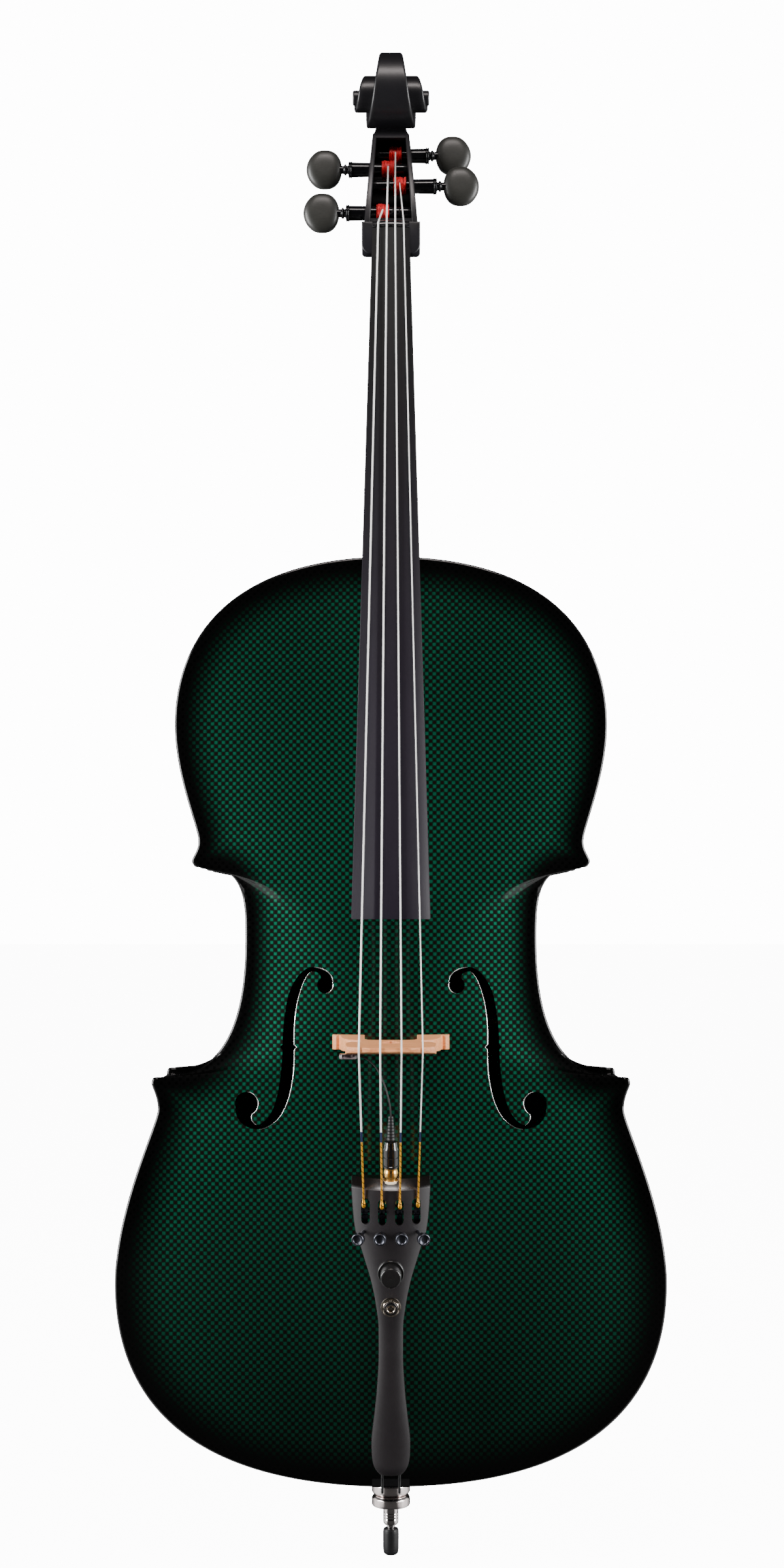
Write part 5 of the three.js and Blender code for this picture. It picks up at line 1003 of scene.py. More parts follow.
def peg_shells(peg):
    """The turned shaft, and a thumb piece of ovals of size s at depth (1 - s^3.4)^0.55 on both sides."""
    far, ring, _ = peg_reaches(peg)
    neck, thumb = ring + 2.6, ring + 8.4
    lips = [(6.2, 0), (6.9, 0), (7.2, 0.45), (7.0, 0.85), (6.45, 1.05), (6.45, 1.6), (7.0, 1.8), (7.1, 2.2), (6.6, 2.6)]
    bead = [(3.3, 0.28), (4.3, 0.36), (4.8, 0.5), (4.3, 0.64), (3.3, 0.72)]
    profile = [(0, far), (peg_radius(far, ring), far)] + [(r, ring + at) for r, at in lips] + [(3.5, neck + 0.6)]
    profile += [(r, mix(neck, thumb, at)) for r, at in bead] + [(3.4, thumb + 3), (0, thumb + 3)]
    shaft = lathe(softened(profile, 0.5, 4), 56, "x")
    size = np.concatenate([np.linspace(0.02, 0.8, 9), 1 - 0.2 * (1 - np.linspace(0, 1, 9)[1:]) ** 2])
    depth = (1 - size**3.4) ** 0.55
    rows = list(zip(-depth, size)) + list(zip(depth, size))[-2::-1]
    t = np.arange(72) / 72 * 2 * np.pi
    egg = np.minimum(1.04 - 0.10 * np.cos(t), 1.0)
    side_bulge = np.where(np.cos(t) < 0, 0.74, 0.95)
    across = np.sign(np.cos(t)) * np.abs(np.cos(t)) ** side_bulge
    rings = [np.stack([thumb + 15.2 + 15.2 * k * across, np.full(72, d * 5.75), 17 * k * np.sin(t) * egg], axis=1)
             for d, k in rows]
    return [to_peg(shaft, peg), to_peg(skin(rings), peg)]


# %% [markdown]
# The head is put together as the carver leaves it: the shaft with its cheeks, the pegbox bored for four pegs,
# and the scroll's turns and eye, all joined into one closed skin.

# %% Neck and pegs
neck = mesh_object("carved_neck", [neck_shaft()])
combine(neck, [cheeks()], "UNION")
box_part = mesh_object("carved_box", [pegbox()])
combine(box_part, [peg_hole(peg) for peg in PEGS.values()])
box_shell = (points_of(box_part), [list(p.vertices) for p in box_part.data.polygons])
bpy.data.objects.remove(box_part)
combine(neck, [box_shell, volute(0, 270), volute(264, 540), volute(534, 720), scroll_eye()], "UNION")
x, y, z = points_of(neck).T
share = (z - NUT_Z) / HEAD
front = eased(share, BOX_FRONT) * HEAD
within = (share > 0.07) & (share < 0.69) & (np.abs(x) < pegbox_half(z) - pegbox_wall(share) + 0.4)
# Painted shade in the pegbox's hollow, deepening from its opening inwards.
mark(neck, "hollow", within * np.clip((y - front - 0.8) / 4, 0, 1))
dress(neck, head_finish, ["neck"], sharp=32)

peg_finish, tree, surface, place = finish("peg_wood")
rub_and_sheen = attribute(tree, "rub_and_sheen")
shine = worn(tree, place, 0.14, 0.08)
streaks = noise(tree, stretched(tree, place, (260.0, 260.0, 2200.0)), 1.0, 3.0)
thumbed = tint(tree, streaks, (0.012, 0.012, 0.0105), (0.030, 0.030, 0.026))
wire(tree, surface, {"Base Color": tint(tree, rub_and_sheen, (0.004, 0.004, 0.005), thumbed), "Specular IOR Level": 0.5,
                     "Roughness": maths(tree, "MULTIPLY_ADD", rub_and_sheen, 0.26, shine["Roughness"]),
                     "Normal": bump(tree, streaks, 0.05, 0.0001)})
for name, peg in PEGS.items():
    shells = peg_shells(peg)
    turned = mesh_object(f"turned_peg_{name}", shells)
    mark(turned, "rub_and_sheen", np.repeat([0, 1], [len(points) for points, _ in shells]))
    dress(turned, peg_finish, [f"peg_{name}"], sharp=40)

# %% [markdown]
# Red silk binds the string's end on each peg. It is wound in several crossing layers, never quite evenly. A
# bumped tube would look like a plain sleeve, so the bundle is made of seven strands whose pitch wanders, with
# its random numbers drawn from a fixed seed. It keeps clear of the pegbox and the strings as the peg turns.

# %% Silk windings
silk, tree, surface, place = finish("red_silk")
shine = worn(tree, place, 0.42, 0.3)
threads = noise(tree, stretched(tree, place, (2600.0, 900.0, 900.0)), 1.0, 3.0, 0.6)
red = tint(tree, between(tree, threads, 0.3, 0.6), (0.55, 0.002, 0.006), (1.0, 0.018, 0.028))
wire(tree, surface, {"Base Color": red, "Roughness": shine["Roughness"], "Sheen Weight": 0.06,
                     "Normal": bump(tree, threads, 0.5, 0.0003)})
random = np.random.default_rng(11)


def shaft_radius(peg):
    """The shaft's radius at the side of the winding that lies nearer to the ring."""
    return peg_radius(peg["side"] * peg["winding"] + 5, peg_reaches(peg)[1])


def winding_shells(peg):
    """Helices x = x0 + p(t), radius = r + layer, with p swinging to and fro over the bundle's width."""
    base = shaft_radius(peg) + 0.45
    shells = []
    for strand in range(7):
        turns = 6.0 if strand < 3 else 4.0
        t = np.linspace(0, 1, int(turns * 24))
        phase, lean = random.uniform(0, 2 * np.pi), random.uniform(0.8, 1.15)
        spread = mix(-4.6, 4.6, t) * (1 if strand % 2 else -1) * lean * (1.0 if strand < 3 else 0.8)
        spread = np.clip(spread + (0.5 + 0.35 * strand) * np.sin(t * (7 + 2 * strand) + phase), -4.9, 4.9)
        lift = base + 0.2 + 0.19 * strand + 0.1 * np.sin(t * 23 + phase)
        angle = phase + t * turns * 2 * np.pi
        y, z = peg["y"] + lift * np.cos(angle), peg["z"] + lift * np.sin(angle)
        shells.append(sweep(np.stack([peg["winding"] + spread, y, z], axis=1), 0.46, 7))
    return shells


for name, peg in PEGS.items():
    dress(mesh_object(f"silk_bundle_{name}", winding_shells(peg)), silk, [f"winding_{name}"], sharp=60)

# %% [markdown]
# The fingerboard is round across its top except under the lowest string, where it is planed flat, and hollow
# underneath past the neck. One section, widened and lowered station by station, gives the taper and the hollow
# together. The nut is a small block of the same wood, polished, with its top on the board's round. The saddle at
# the lower edge is left dull.

# %% Fingerboard, nut and saddle
def board_section(z, hollow):
    """The arc y = sagitta(x), straight from -1 to -0.42 of the half width, and the hollowed underside."""
    w, top_y, base = float(board_half(z)), float(board_top(z)), float(board_base(z))
    shares = np.concatenate([np.linspace(-0.985, -0.44, 10), np.linspace(-0.42, 0.985, 40)])
    x = shares * w
    flat = mix(sagitta(-w), sagitta(-0.42 * w), (shares + 1) / 0.58)
    y = top_y + np.where(shares < -0.42, flat, sagitta(x))
    edge_y = top_y + float(sagitta(w))
    arc = list(zip(x, y))
    under_shares = np.linspace(0.97, -0.97, 30)
    dip = hollow * np.sqrt(np.clip(1 - (under_shares / 0.75) ** 2, 0, 1))
    under = list(zip(under_shares * w, base - dip))
    section = [(-w, edge_y + 0.5)] + arc + [(w, edge_y + 0.5), (w, base - 0.5)] + under + [(-w, base - 0.5)]
    return [(px, py, z) for px, py in section]


stations = [(NUT_Z - 0.3, 0), (1000, 0), (900, 0), (819, 0), (800, 2.5), (775, 4.2), (740, 5), (650, 5), (560, 5),
            (BOARD_END + 0.6, 5)]
rings = [board_section(z, hollow) for z, hollow in stations]
ending = np.array(board_section(BOARD_END, 5))
rings.append((ending - ending.mean(axis=0)) * (0.985, 0.96, 1) + ending.mean(axis=0))
board = mesh_object("black_fingerboard", [skin(rings, flat=True)])
dress(board, board_finish, ["fingerboard"], sharp=30)


def nut_ring(z, rise):
    """The board's arc, lifted by the rise, over a flat base."""
    x = np.linspace(-15.3, 15.3, 41)
    base, shoulder = float(board_base(NUT_Z)), -57 - rise + 2.4
    arc = list(zip(x, -57 - rise + sagitta(x)))
    return [(px, py, z) for px, py in arc + [(15.5, shoulder), (15.5, base), (-15.5, base), (-15.5, shoulder)]]


rows = [(0, 0.6), (0.35, 1.0), (2.5, 1.0), (4, 0.2), (5.5, -1.6), (6.6, -3.6), (7, -5)]
nut_block = mesh_object("grooved_nut", [skin([nut_ring(NUT_Z + z, rise) for z, rise in rows])])
dress(nut_block, nut_finish, ["nut"], sharp=40)

side_view = [(-57.2, 70.9), (-65.4, 70.9), (-67.6, 72.2), (-66.8, 73.6), (-63.3, 77), (-57.2, 77), (-57.2, 68.8)]
profile = softened(side_view, 0.8)[:-1]
rows = [np.column_stack([np.full(len(profile), x), profile]) for x in (-15, -14.2, 14.2, 15)]
centre = profile.mean(axis=0)
for ring in (rows[0], rows[-1]):
    ring[:, 1:] = (ring[:, 1:] - centre) * 0.93 + centre
dull_finish = black_wood("dull_ebony", (0.0008, 0.0008, 0.0009), (0.002, 0.002, 0.0022), 0.75, 0.0, 0.1, gloss=0.08)
dress(mesh_object("lower_saddle", [skin(rows)]), dull_finish, ["saddle"], sharp=35)

# %% [markdown]
# The bridge is pale maple with short flecks: two feet on curved ankles, a waist with hooks, and a crown that is
# thinned towards the strings. It is cut from a flat board, and it is made here the same way: half an outline and
# its mirror image are drawn out into a slab, the slab is sliced where the thinning starts, and then each point's
# depth follows from its height. The face towards the tailpiece stays flat up to just under the crown.

# %% Bridge
maple, tree, surface, place = finish("bridge_maple")
flecks = noise(tree, stretched(tree, place, (45.0, 900.0, 900.0)), 1.0, 3.0, 0.55)
rays = between(tree, noise(tree, stretched(tree, place, (1500.0, 160.0, 1500.0)), 1.0, 2.0), 0.58, 0.7)
shade = tint(tree, between(tree, flecks, 0.3, 0.75), (0.80, 0.29, 0.105), (1.0, 0.47, 0.215))
shade = tint(tree, maths(tree, "MULTIPLY", rays, 0.4), shade, (0.6, 0.19, 0.06))
shine = worn(tree, place, 0.5, 0.1)
wire(tree, surface, {"Base Color": shade, "Roughness": shine["Roughness"], "Specular IOR Level": 0.4,
                     "Normal": bump(tree, flecks, 0.15, 0.0002)})
HALF_SPAN, FOOT_Y, TAIL_FACE, LINE, BOARD = 46.8, -62.6, 419.75, 356.35, 13.2
BRIDGE_RISE, CROWN_ROUND = 86, 64


def half_width_at(height):
    """The body's half width at a height, between the rows of its outline."""
    order = np.argsort(right[:, 1])
    return float(np.interp(height, right[order, 1], right[order, 0]))


def arch_at(px, height):
    """How far the top stands over its edge: solves s = |x| / width(height(s)) by steps."""
    share = 0.5
    for _ in range(30):
        source = MIDDLE + (height - MIDDLE) / mix(0.62, 1, share)
        share = mix(share, abs(px) / max(half_width_at(min(max(source, 0), BODY_LENGTH)), abs(px), 1), 0.7)
    return CROWN_TOP * float(arch(share, height))


CROWN_Y = FOOT_Y - arch_at(0, LINE) - BRIDGE_RISE
BRIDGE_RIGHT = [
    (0, 0.385), (0.2, 0.385), (0.36, 0.375), (0.43, 0.33), (0.447, 0.22), (0.448, 0.06), (0.448, 0), (0.7, 0), (1, 0),
    (1, 0.03), (0.97, 0.055), (0.92, 0.062), (0.87, 0.05), (0.855, 0.12), (0.835, 0.22), (0.78, 0.32), (0.7, 0.38),
    (0.6, 0.405), (0.52, 0.44), (0.5, 0.48), (0.55, 0.525), (0.68, 0.55), (0.745, 0.62), (0.74, 0.78)]


def crown_at(px):
    """The crown's round of radius R: y + R - sqrt(R^2 - x^2)."""
    return CROWN_Y + CROWN_ROUND - np.sqrt(CROWN_ROUND**2 - np.asarray(px, float) ** 2)


def bridge_outline():
    """Shares of half the span and of the height; the feet follow the arch under them."""
    made = []
    feet = [FOOT_Y - arch_at(out * HALF_SPAN, LINE) - 0.35 for out, _ in BRIDGE_RIGHT]
    rows = [(out * HALF_SPAN, mix(foot, CROWN_Y, up)) for foot, (out, up) in zip(feet, BRIDGE_RIGHT)]
    rows += [(px, float(crown_at(px))) for px in np.linspace(0.722, 0, 7) * HALF_SPAN]
    start = 0
    for stop in (6, 8, len(BRIDGE_RIGHT), len(rows) - 1):
        made += list(through(rows[start:stop + 1], 40 if stop != 8 else 16))[:-1]
        start = stop
    right_side = np.array(made)
    return np.concatenate([right_side, (right_side[1:] * (-1, 1))[::-1]])


def thinned(p):
    """z runs from the tail face, cut back by 2.6 near the crown, to the front, cut from 13.2 to 5.8"""
    up = np.clip((FOOT_Y - 4 - p[:, 1]) / 106, 0, 1)
    low = 2.6 * np.clip((CROWN_Y + 24 - p[:, 1]) / 24, 0, 1)
    return np.column_stack([p[:, 0], p[:, 1], TAIL_FACE + mix(low, mix(BOARD, 5.8, up), p[:, 2] / BOARD)])


bridge = mesh_object("carved_bridge", [slab(bridge_outline(), 0, BOARD, 0.6)])
shape = bmesh.new()
shape.from_mesh(bridge.data)
for level in (FOOT_Y - 4, CROWN_Y + 24):
    bmesh.ops.bisect_plane(shape, geom=shape.verts[:] + shape.edges[:] + shape.faces[:],
                           plane_co=(0, level * MM, 0), plane_no=(0, 1, 0))
bmesh.ops.triangulate(shape, faces=[f for f in shape.faces if len(f.verts) > 4])
places = thinned(np.array([v.co for v in shape.verts]) / MM) * MM
for v, co in zip(shape.verts, places):
    v.co = co
shape.to_mesh(bridge.data)
shape.free()
t = np.arange(48) / 48 * 2 * np.pi
heart = np.stack([6.6 * np.cos(t), mix(FOOT_Y, CROWN_Y, 0.66) + 7.3 * np.sin(t) - 2.2 * np.abs(np.cos(t))], axis=1)
combine(bridge, [skin([flat_ring(heart, z) for z in (400.0, 450.0)])])
dress(bridge, maple, ["bridge"], sharp=35)

# %% [markdown]
# A clear moulded pickup sits on the bridge's flat face, and its thin lead bends down to the plug. Inside the
# moulding lie dark and light parts, so its colour is cloudy under a clear coat. The lead is a free cord: its
# line repeats the imported route, is swept as a thin tube, and its real length is worked out and printed further on.

# %% Pickup and lead
clear, tree, surface, place = finish("clear_moulding")
shine = worn(tree, place, 0.16, 0.1)
depth = noise(tree, place, 300.0, 2.0)
smoky = tint(tree, between(tree, depth, 0.4, 0.65), (0.02, 0.016, 0.018), (0.30, 0.24, 0.25))
wire(tree, surface, {"Base Color": smoky, "Roughness": shine["Roughness"], "Coat Weight": 0.8,
                     "Coat Roughness": 0.05})
cable, tree, surface, place = finish("cable_sheath")
plait = noise(tree, stretched(tree, place, (1500.0, 1500.0, 2200.0)), 1.0, 1.0)
wire(tree, surface, {"Base Color": tint(tree, plait, (0.004, 0.004, 0.005), (0.013, 0.013, 0.014)),
                     "Roughness": 0.5, "Normal": bump(tree, plait, 0.3, 0.0002)})
PICKUP_X, PICKUP_Y, HALF_WIDTH, HALF_HEIGHT = -33, CROWN_Y + 33, 7, 4.5
cut = [(-1, -1, 0, 2), (-1, -1, 2, 0), (1, -1, -2, 0), (1, -1, 0, 2), (1, 1, 0, -2), (1, 1, -2, 0), (-1, 1, 2, 0),
       (-1, 1, 0, -2)]
loop = [(PICKUP_X + HALF_WIDTH * a + c, PICKUP_Y + HALF_HEIGHT * b + d) for a, b, c, d in cut]
loop = even(loop + loop[:1], 64, True)
pickup = mesh_object("pickup_moulding", [slab(loop, 415.3, 419.45, 0.8)])
dress(pickup, clear, ["bridge_pickup"], sharp=35)
LEAD = [(-25.7, -139.26, 417.35), (-24.2, -139.3, 417.3), (-22.4, -139.4, 417), (-20, -139.6, 416.1),
        (-17.2, -139.9, 414.4), (-14.2, -140.4, 411.9), (-11.2, -141.1, 408.4), (-8.5, -142, 404),
        (-6.2, -142.9, 399.2), (-4.3, -143.8, 394.2), (-2.8, -144.5, 389.4), (-1.7, -144.8, 384.8),
        (-0.8, -144.5, 380.4), (-0.3, -143.9, 376.4), (-0.1, -143.3, 373.6), (0, -142.926, 372.158),
        (0, -142.13, 368.24), (0, -141.34, 364.32)]
lead_line = through(LEAD, 90)
lead = mesh_object("lead_sheath", [sweep(lead_line, 0.6, 10)])
print("lead from", LEAD[0], "to", LEAD[-1])
dress(lead, cable, ["pickup_lead"], sharp=60)

# %% [markdown]
# The tailpiece and what it carries lie in one tilted frame: z up its length, y in from its face. So each is drawn
# upright and tilted last. The tailpiece is a thin moulding with a gently arched face, rounded sides, four slots
# for the strings and a hollow behind. Rings along its length give the shell, and the slots, the knob's and the
# jack's holes and the plug's bore are cut. It is satin, but its bevelled head is glossier, with painted shade
# that makes it darker.

# %% Tailpiece
TAIL_LENGTH, TAIL_HEAD, KNOB_Z, JACK_Z = 232.10, 30.7, 167, 139
TAIL_TILT = np.array([(1, 0, 0), (0, 0.98016, 0.19819), (0, -0.19819, 0.98016)])
TAIL_PLACE = 0, -97, 87
TAIL_OUTLINE = [(0, 0.27), (0.012, 0.36), (0.035, 0.45), (0.07, 0.49), (0.11, 0.497), (0.2, 0.43), (0.3, 0.355),
                (0.42, 0.31), (0.52, 0.312), (0.6, 0.38), (0.68, 0.5), (0.76, 0.68), (0.815, 0.81), (0.85, 0.9),
                (0.93, 0.97), (1, 1)]


def from_tail(p):
    """Tail frame to cello frame: a turn about X and a shift."""
    return np.asarray(p, float) @ TAIL_TILT + TAIL_PLACE


def tail_half(share):
    """Half the tailpiece's width at a share of its length."""
    return TAIL_HEAD * eased(np.clip(share, 0, 1), TAIL_OUTLINE)


def tail_ring(z, w, sink, depth, edge=1.4):
    """The arched face y = sink + 0.29 w s^2, rounded into the sides."""
    s = np.linspace(-1, 1, 41)
    face = [(w * a * 0.985, sink + 0.29 * w * a * a) for a in s]
    flank = [(w, sink + 0.29 * w + edge), (w, depth - edge), (w - edge * 0.4, depth - edge * 0.3), (w - edge, depth)]
    return [(px, py, z) for px, py in face + flank + [(-px, py) for px, py in flank[::-1]]]


def tail_shell():
    """Rings up the length, rounded off at the foot, and eight more that slope back over the head."""
    rings = []
    for share in np.concatenate([[0.0, 0.004, 0.01, 0.018], np.linspace(0.03, 0.998, 110)]):
        foot = max(0, 1 - share / 0.02)
        sink = 1.6 * foot
        rings.append(tail_ring(share * TAIL_LENGTH, float(tail_half(share)), sink, mix(10, 19, share) - sink))
    for share in np.linspace(0, 1, 8):
        rings.append(tail_ring(TAIL_LENGTH + 7 * share, TAIL_HEAD, 8 * (share**1.15), 19.0))
    return skin(rings)


def tail_hollow():
    """What is hollow behind the face, open at the back."""
    return skin([tail_ring(share * TAIL_LENGTH, float(tail_half(share)) - 1.7, 3.7, 24.0, 0.8)
                 for share in np.linspace(0.12, 0.97, 40)])


def drum(height, radius):
    """A round cutter square to the face, 6 in front of it and 19 behind."""
    return moved(lathe([(0, -19), (radius, -19), (radius, 6), (0, 6)], 48, "y"), lambda p: p + (0, 0, height))


PLACES = {"c": -1.5, "g": -0.5, "d": 0.5, "a": 1.5}


def slot_cutter(place_x):
    """A slot with round ends."""
    t = np.linspace(0, np.pi, 16)
    low, high, r = TAIL_LENGTH - 28 + 3.3, TAIL_LENGTH - 7 - 3.3, 3.3
    loop = [(place_x + r * math.cos(a), high + r * math.sin(a)) for a in t]
    loop += [(place_x - r * math.cos(a), low - r * math.sin(a)) for a in t]
    return flat_tool(loop, -4.0, 24.0)


moulding, tree, surface, place = finish("satin_moulding")
shine = worn(tree, place, 0.4, 0.14)
fine = noise(tree, place, 2400.0, 2.0)
# Painted shade: the bevelled head is coloured nearly black.
bevel_shade = attribute(tree, "shaded_bevel")
shade = tint(tree, shine["Mask"], (0.010, 0.008, 0.0092), (0.018, 0.0145, 0.0168))
wire(tree, surface, {"Base Color": tint(tree, bevel_shade, shade, (0.003, 0.002, 0.0015)), "Specular IOR Level": 0.95,
                     "Roughness": maths(tree, "MULTIPLY_ADD", bevel_shade, -0.2, shine["Roughness"]),
                     "Normal": bump(tree, fine, 0.12, 0.0001)})
tail = mesh_object("moulded_tailpiece", [tail_shell()])
socket_z = TAIL_LENGTH + 3
SOCKET_Y, GUT_X, GUT_Y, SLOT_STEP = 11.5, 6.8, 5.8, 13.1
bore = [(0, socket_z - 22), (4.9, socket_z - 22), (4.9, socket_z), (7.25, socket_z), (7.25, TAIL_LENGTH + 12),
        (0, TAIL_LENGTH + 12)]
tools = [tail_hollow()] + [slot_cutter(place_x * SLOT_STEP) for place_x in PLACES.values()]
tools += [drum(KNOB_Z, 3.4), drum(JACK_Z, 4.9), moved(lathe(bore, 48), lambda p: p + (0, SOCKET_Y, 0))]
for x in (-GUT_X, GUT_X):
    tools.append(moved(lathe([(0, -4), (1.35, -4), (1.35, 9), (0, 9)], 24), lambda p, x=x: p + (x, GUT_Y, 0)))
combine(tail, tools)
points = points_of(tail)
# Marks the bevelled head for painted shade and more gloss.
mark(tail, "shaded_bevel", np.clip(points[:, 2] - TAIL_LENGTH - 0.3, 0, 1))
tail.data.vertices.foreach_set("co", (from_tail(points) * MM).ravel())
tail.data.update()
dress(tail, moulding, ["tailpiece"], sharp=32)

# %% [markdown]
# Fine tuners are turned from steel: a dished head with a bright rim on a collar, leaning outwards so that the
# fingers have room, with its shaft's end over the lever. The knob, the jack's washer and its rim are turned too,
# so each is one profile spun about an axis. Only the jack's nut has flats: its rings follow a hexagon, and a cone
# takes off the corners on top. Bright metal is mostly what it mirrors, so its colour wanders only a little.

# %% Tuners, knob and jack
chrome, steel, nickel, gold = (
    mottled(name, low, high, roughness, amount, {"Metallic": 1.0}) for name, low, high, roughness, amount in (
        ("bright_chrome", (0.78, 0.72, 0.70), (0.93, 0.88, 0.86), 0.09, 0.08),
        ("dark_steel", (0.07, 0.074, 0.09), (0.13, 0.135, 0.165), 0.33, 0.12),
        ("warm_nickel", (0.72, 0.61, 0.5), (0.86, 0.76, 0.64), 0.14, 0.1),
        ("plug_brass", (0.62, 0.36, 0.1), (0.85, 0.56, 0.2), 0.2, 0.1)))


def on_face(profile, sides, height):
    """A profile spun about an axis that stands square to the tailpiece's face, outwards, on its middle line."""
    return moved(lathe(profile, sides), lambda p: from_tail(np.column_stack([p[:, 0], -p[:, 2], p[:, 1] + height])))


SCREW_REACH, SCREW_Z = 26.2, TAIL_LENGTH - 34


def screw_shell(place_x):
    """A spun profile turned by the angle whose tangent is its sideways lean over its reach."""
    lean = math.atan(place_x * 4.0 / SCREW_REACH)
    top_at, clear = SCREW_REACH / math.cos(lean), 1.5 * abs(math.tan(lean))
    head = top_at - 5.2
    profile = [(0, 0.3 + clear), (1.4, 0.4 + clear), (1.45, head - 2.6), (3.1, head - 2.6), (3.2, head - 2.2),
               (3.2, head - 0.2), (4.4, head), (4.9, head + 0.5), (4.9, top_at - 0.9), (4.55, top_at - 0.15),
               (3.9, top_at), (3.45, top_at - 0.15), (3.1, top_at - 0.75), (1.8, top_at - 1.25), (0, top_at - 1.4)]
    points, faces = lathe(softened(profile, 0.35, 4), 56)
    x, y, z = points.T
    across, out = x * math.cos(lean) + z * math.sin(lean), z * math.cos(lean) - x * math.sin(lean)
    return outward(from_tail(np.column_stack([across + place_x * SLOT_STEP, 11.2 - out, y + SCREW_Z])), faces)


for name, place_x in PLACES.items():
    screw = mesh_object(f"steel_screw_{name}", [screw_shell(place_x)])
    dress(screw, steel, [f"tuner_screw_{name}"], sharp=50)
knob_black = mottled("knob_black", (0.006, 0.006, 0.006), (0.014, 0.013, 0.013), 0.26, 0.12,
                     {"Coat Weight": 0.4, "Coat Roughness": 0.1})
profile = [(3.4, 0.3), (10.2, 0.3), (10.45, 0.6), (10.45, 2.7), (10.1, 3.5), (9.5, 3.8), (8.9, 3.4), (8.6, 3.2),
           (8.4, 4.2), (8.25, 12.6), (7.7, 13.9), (6.6, 14.4), (3, 14.5), (0, 14.5), (0, 9.2), (3.4, 9.0), (3.4, 0.3)]
knob = mesh_object("black_knob", [on_face(softened(profile, 0.4, 4), 72, KNOB_Z)])
dress(knob, knob_black, ["volume_knob"], sharp=40)
ring = [(4.85, 0.3), (7.5, 0.3), (7.8, 0.55), (7.75, 1.0), (6.9, 1.5), (5.2, 1.5), (4.85, 1.4), (4.85, 0.3)]
dress(mesh_object("nickel_washer", [on_face(ring, 64, JACK_Z)]), nickel, ["jack_washer"], sharp=40)


def jack_nut_shell():
    """r(t) = half the flats' distance / cos of the angle to the nearest flat, chamfered on top by a cone."""
    flat, low, high, hole = 6.0, 1.8, 4.4, 4.85
    t = np.arange(96) / 96 * 2 * np.pi
    hexed = flat / np.cos((t + np.pi / 6) % (np.pi / 3) - np.pi / 6)
    rows = [(hole, low), (hexed * 0.985, low), (hexed, low + 0.25), (hexed, high - 0.9),
            (np.minimum(hexed, flat * 1.06), high - 0.35), (np.minimum(hexed, flat) * 0.97, high), (hole + 0.4, high),
            (hole, high - 0.3), (hole, low)]
    rings = [np.column_stack([r * np.cos(t), np.full(96, -z), r * np.sin(t) + JACK_Z]) for r, z in rows]
    points, faces = skin(rings, ends=False)
    return outward(from_tail(points), faces)


rim = [(2.2, 2.6), (3.9, 2.6), (4.3, 3.4), (4.2, 4.6), (3.6, 5.2), (2.9, 5.1), (2.4, 4.5), (2.2, 3.6), (2.2, 2.6)]
jack_rim = mesh_object("jack_rim", [on_face(rim, 48, JACK_Z)])
dress(jack_rim, nickel, [], sharp=60, rides_with="output_jack")
dress(mesh_object("nickel_nut", [jack_nut_shell()]), nickel, ["jack_nut"], sharp=40)

# %% [markdown]
# The plug is turned brass with a black barrel that carries fine rings, and a braided boot where the lead comes
# out. Brass and barrel are one profile, and the mesh marks which points are brass and which lie on the pale
# insulating ring at the socket. The boot's profile swells and shrinks as its braid does.

# %% Plug
barrel_black, tree, surface, place = finish("plug_parts")
brass, cream = attribute(tree, "brass"), attribute(tree, "cream")
shine = worn(tree, place, 0.25, 0.1)
shade = tint(tree, cream, tint(tree, brass, (0.003, 0.003, 0.0035), (0.9, 0.55, 0.17)), (0.9, 0.8, 0.62))
wire(tree, surface, {"Base Color": shade, "Metallic": maths(tree, "SUBTRACT", brass, cream),
                     "Roughness": shine["Roughness"], "Coat Weight": maths(tree, "SUBTRACT", 1.0, brass),
                     "Coat Roughness": 0.12})
PLUG_ROWS = [
    (0, -12), (1.7, -12), (1.75, 0.3), (7.1, 0.3), (7.8, 0.8), (7.8, 1.7), (7.2, 2.2), (6.2, 2.4), (5.2, 2.45),
    (5.1, 4.2), (5.5, 5.4), (5.75, 6.6), (5.75, 8.6), (5.45, 9.8), (5.15, 10.6), (5.15, 11.4), (5.5, 11.8),
    (5.5, 12.2), (5.4, 12.2), (6.3, 12.5), (6.4, 12.9), (6.4, 14.0), (6.0, 14.4), (6.0, 15.0), (6.4, 15.3),
    (6.4, 20.6), (6.0, 20.9), (6.0, 21.5), (6.3, 21.8), (6.2, 27.0), (5.3, 28.4), (5.1, 31.0), (4.6, 32.8),
    (3.6, 33.4), (0, 33.4)]
BOOT_LOW, BOOT_LENGTH, BOOT_STEPS = socket_z + 33.7, 19.4, 72


def in_socket(shell):
    """A shell spun about z, moved to the socket's axis."""
    return moved(shell, lambda p: from_tail(p + (0, SOCKET_Y, 0)))


shell = lathe(np.array(PLUG_ROWS) + (0, socket_z), 56)
plug = mesh_object("plug_body", [in_socket(shell)])
mark(plug, "brass", shell[0][:, 2] < socket_z + 12.15)
mark(plug, "cream", shell[0][:, 2] < socket_z + 2.42)
dress(plug, barrel_black, ["plug_barrel"], sharp=30)
k = np.arange(BOOT_STEPS + 1)
braid = mix(3.0, 1.7, k / BOOT_STEPS) * (1 + 0.13 * np.abs(np.sin(k * np.pi / 9)))
rows = np.column_stack([braid, BOOT_LOW + BOOT_LENGTH * k / BOOT_STEPS])
rows = np.vstack([(0, BOOT_LOW), rows, (0, socket_z + 53.1)])
boot = mesh_object("plug_boot_braid", [in_socket(lathe(rows, 40))])
dress(boot, cable, ["plug_boot"], sharp=60)
length = float(run_along(lead_line)[-1]) * MM
print("lead length", round(length, 4))

# %% [markdown]
# Each string is round wound metal. Below the bridge its winding turns to blue silk and then to a black and gold
# spiral, and it ends in a swollen ball above the lever's fork. A real coil would need thousands of faces, so the
# string is one tube that is swept along its bent route, and each point carries how far along and how far round
# it lies. From these the finish draws the fine ribs and the spiral, and its height gives the three stretches.

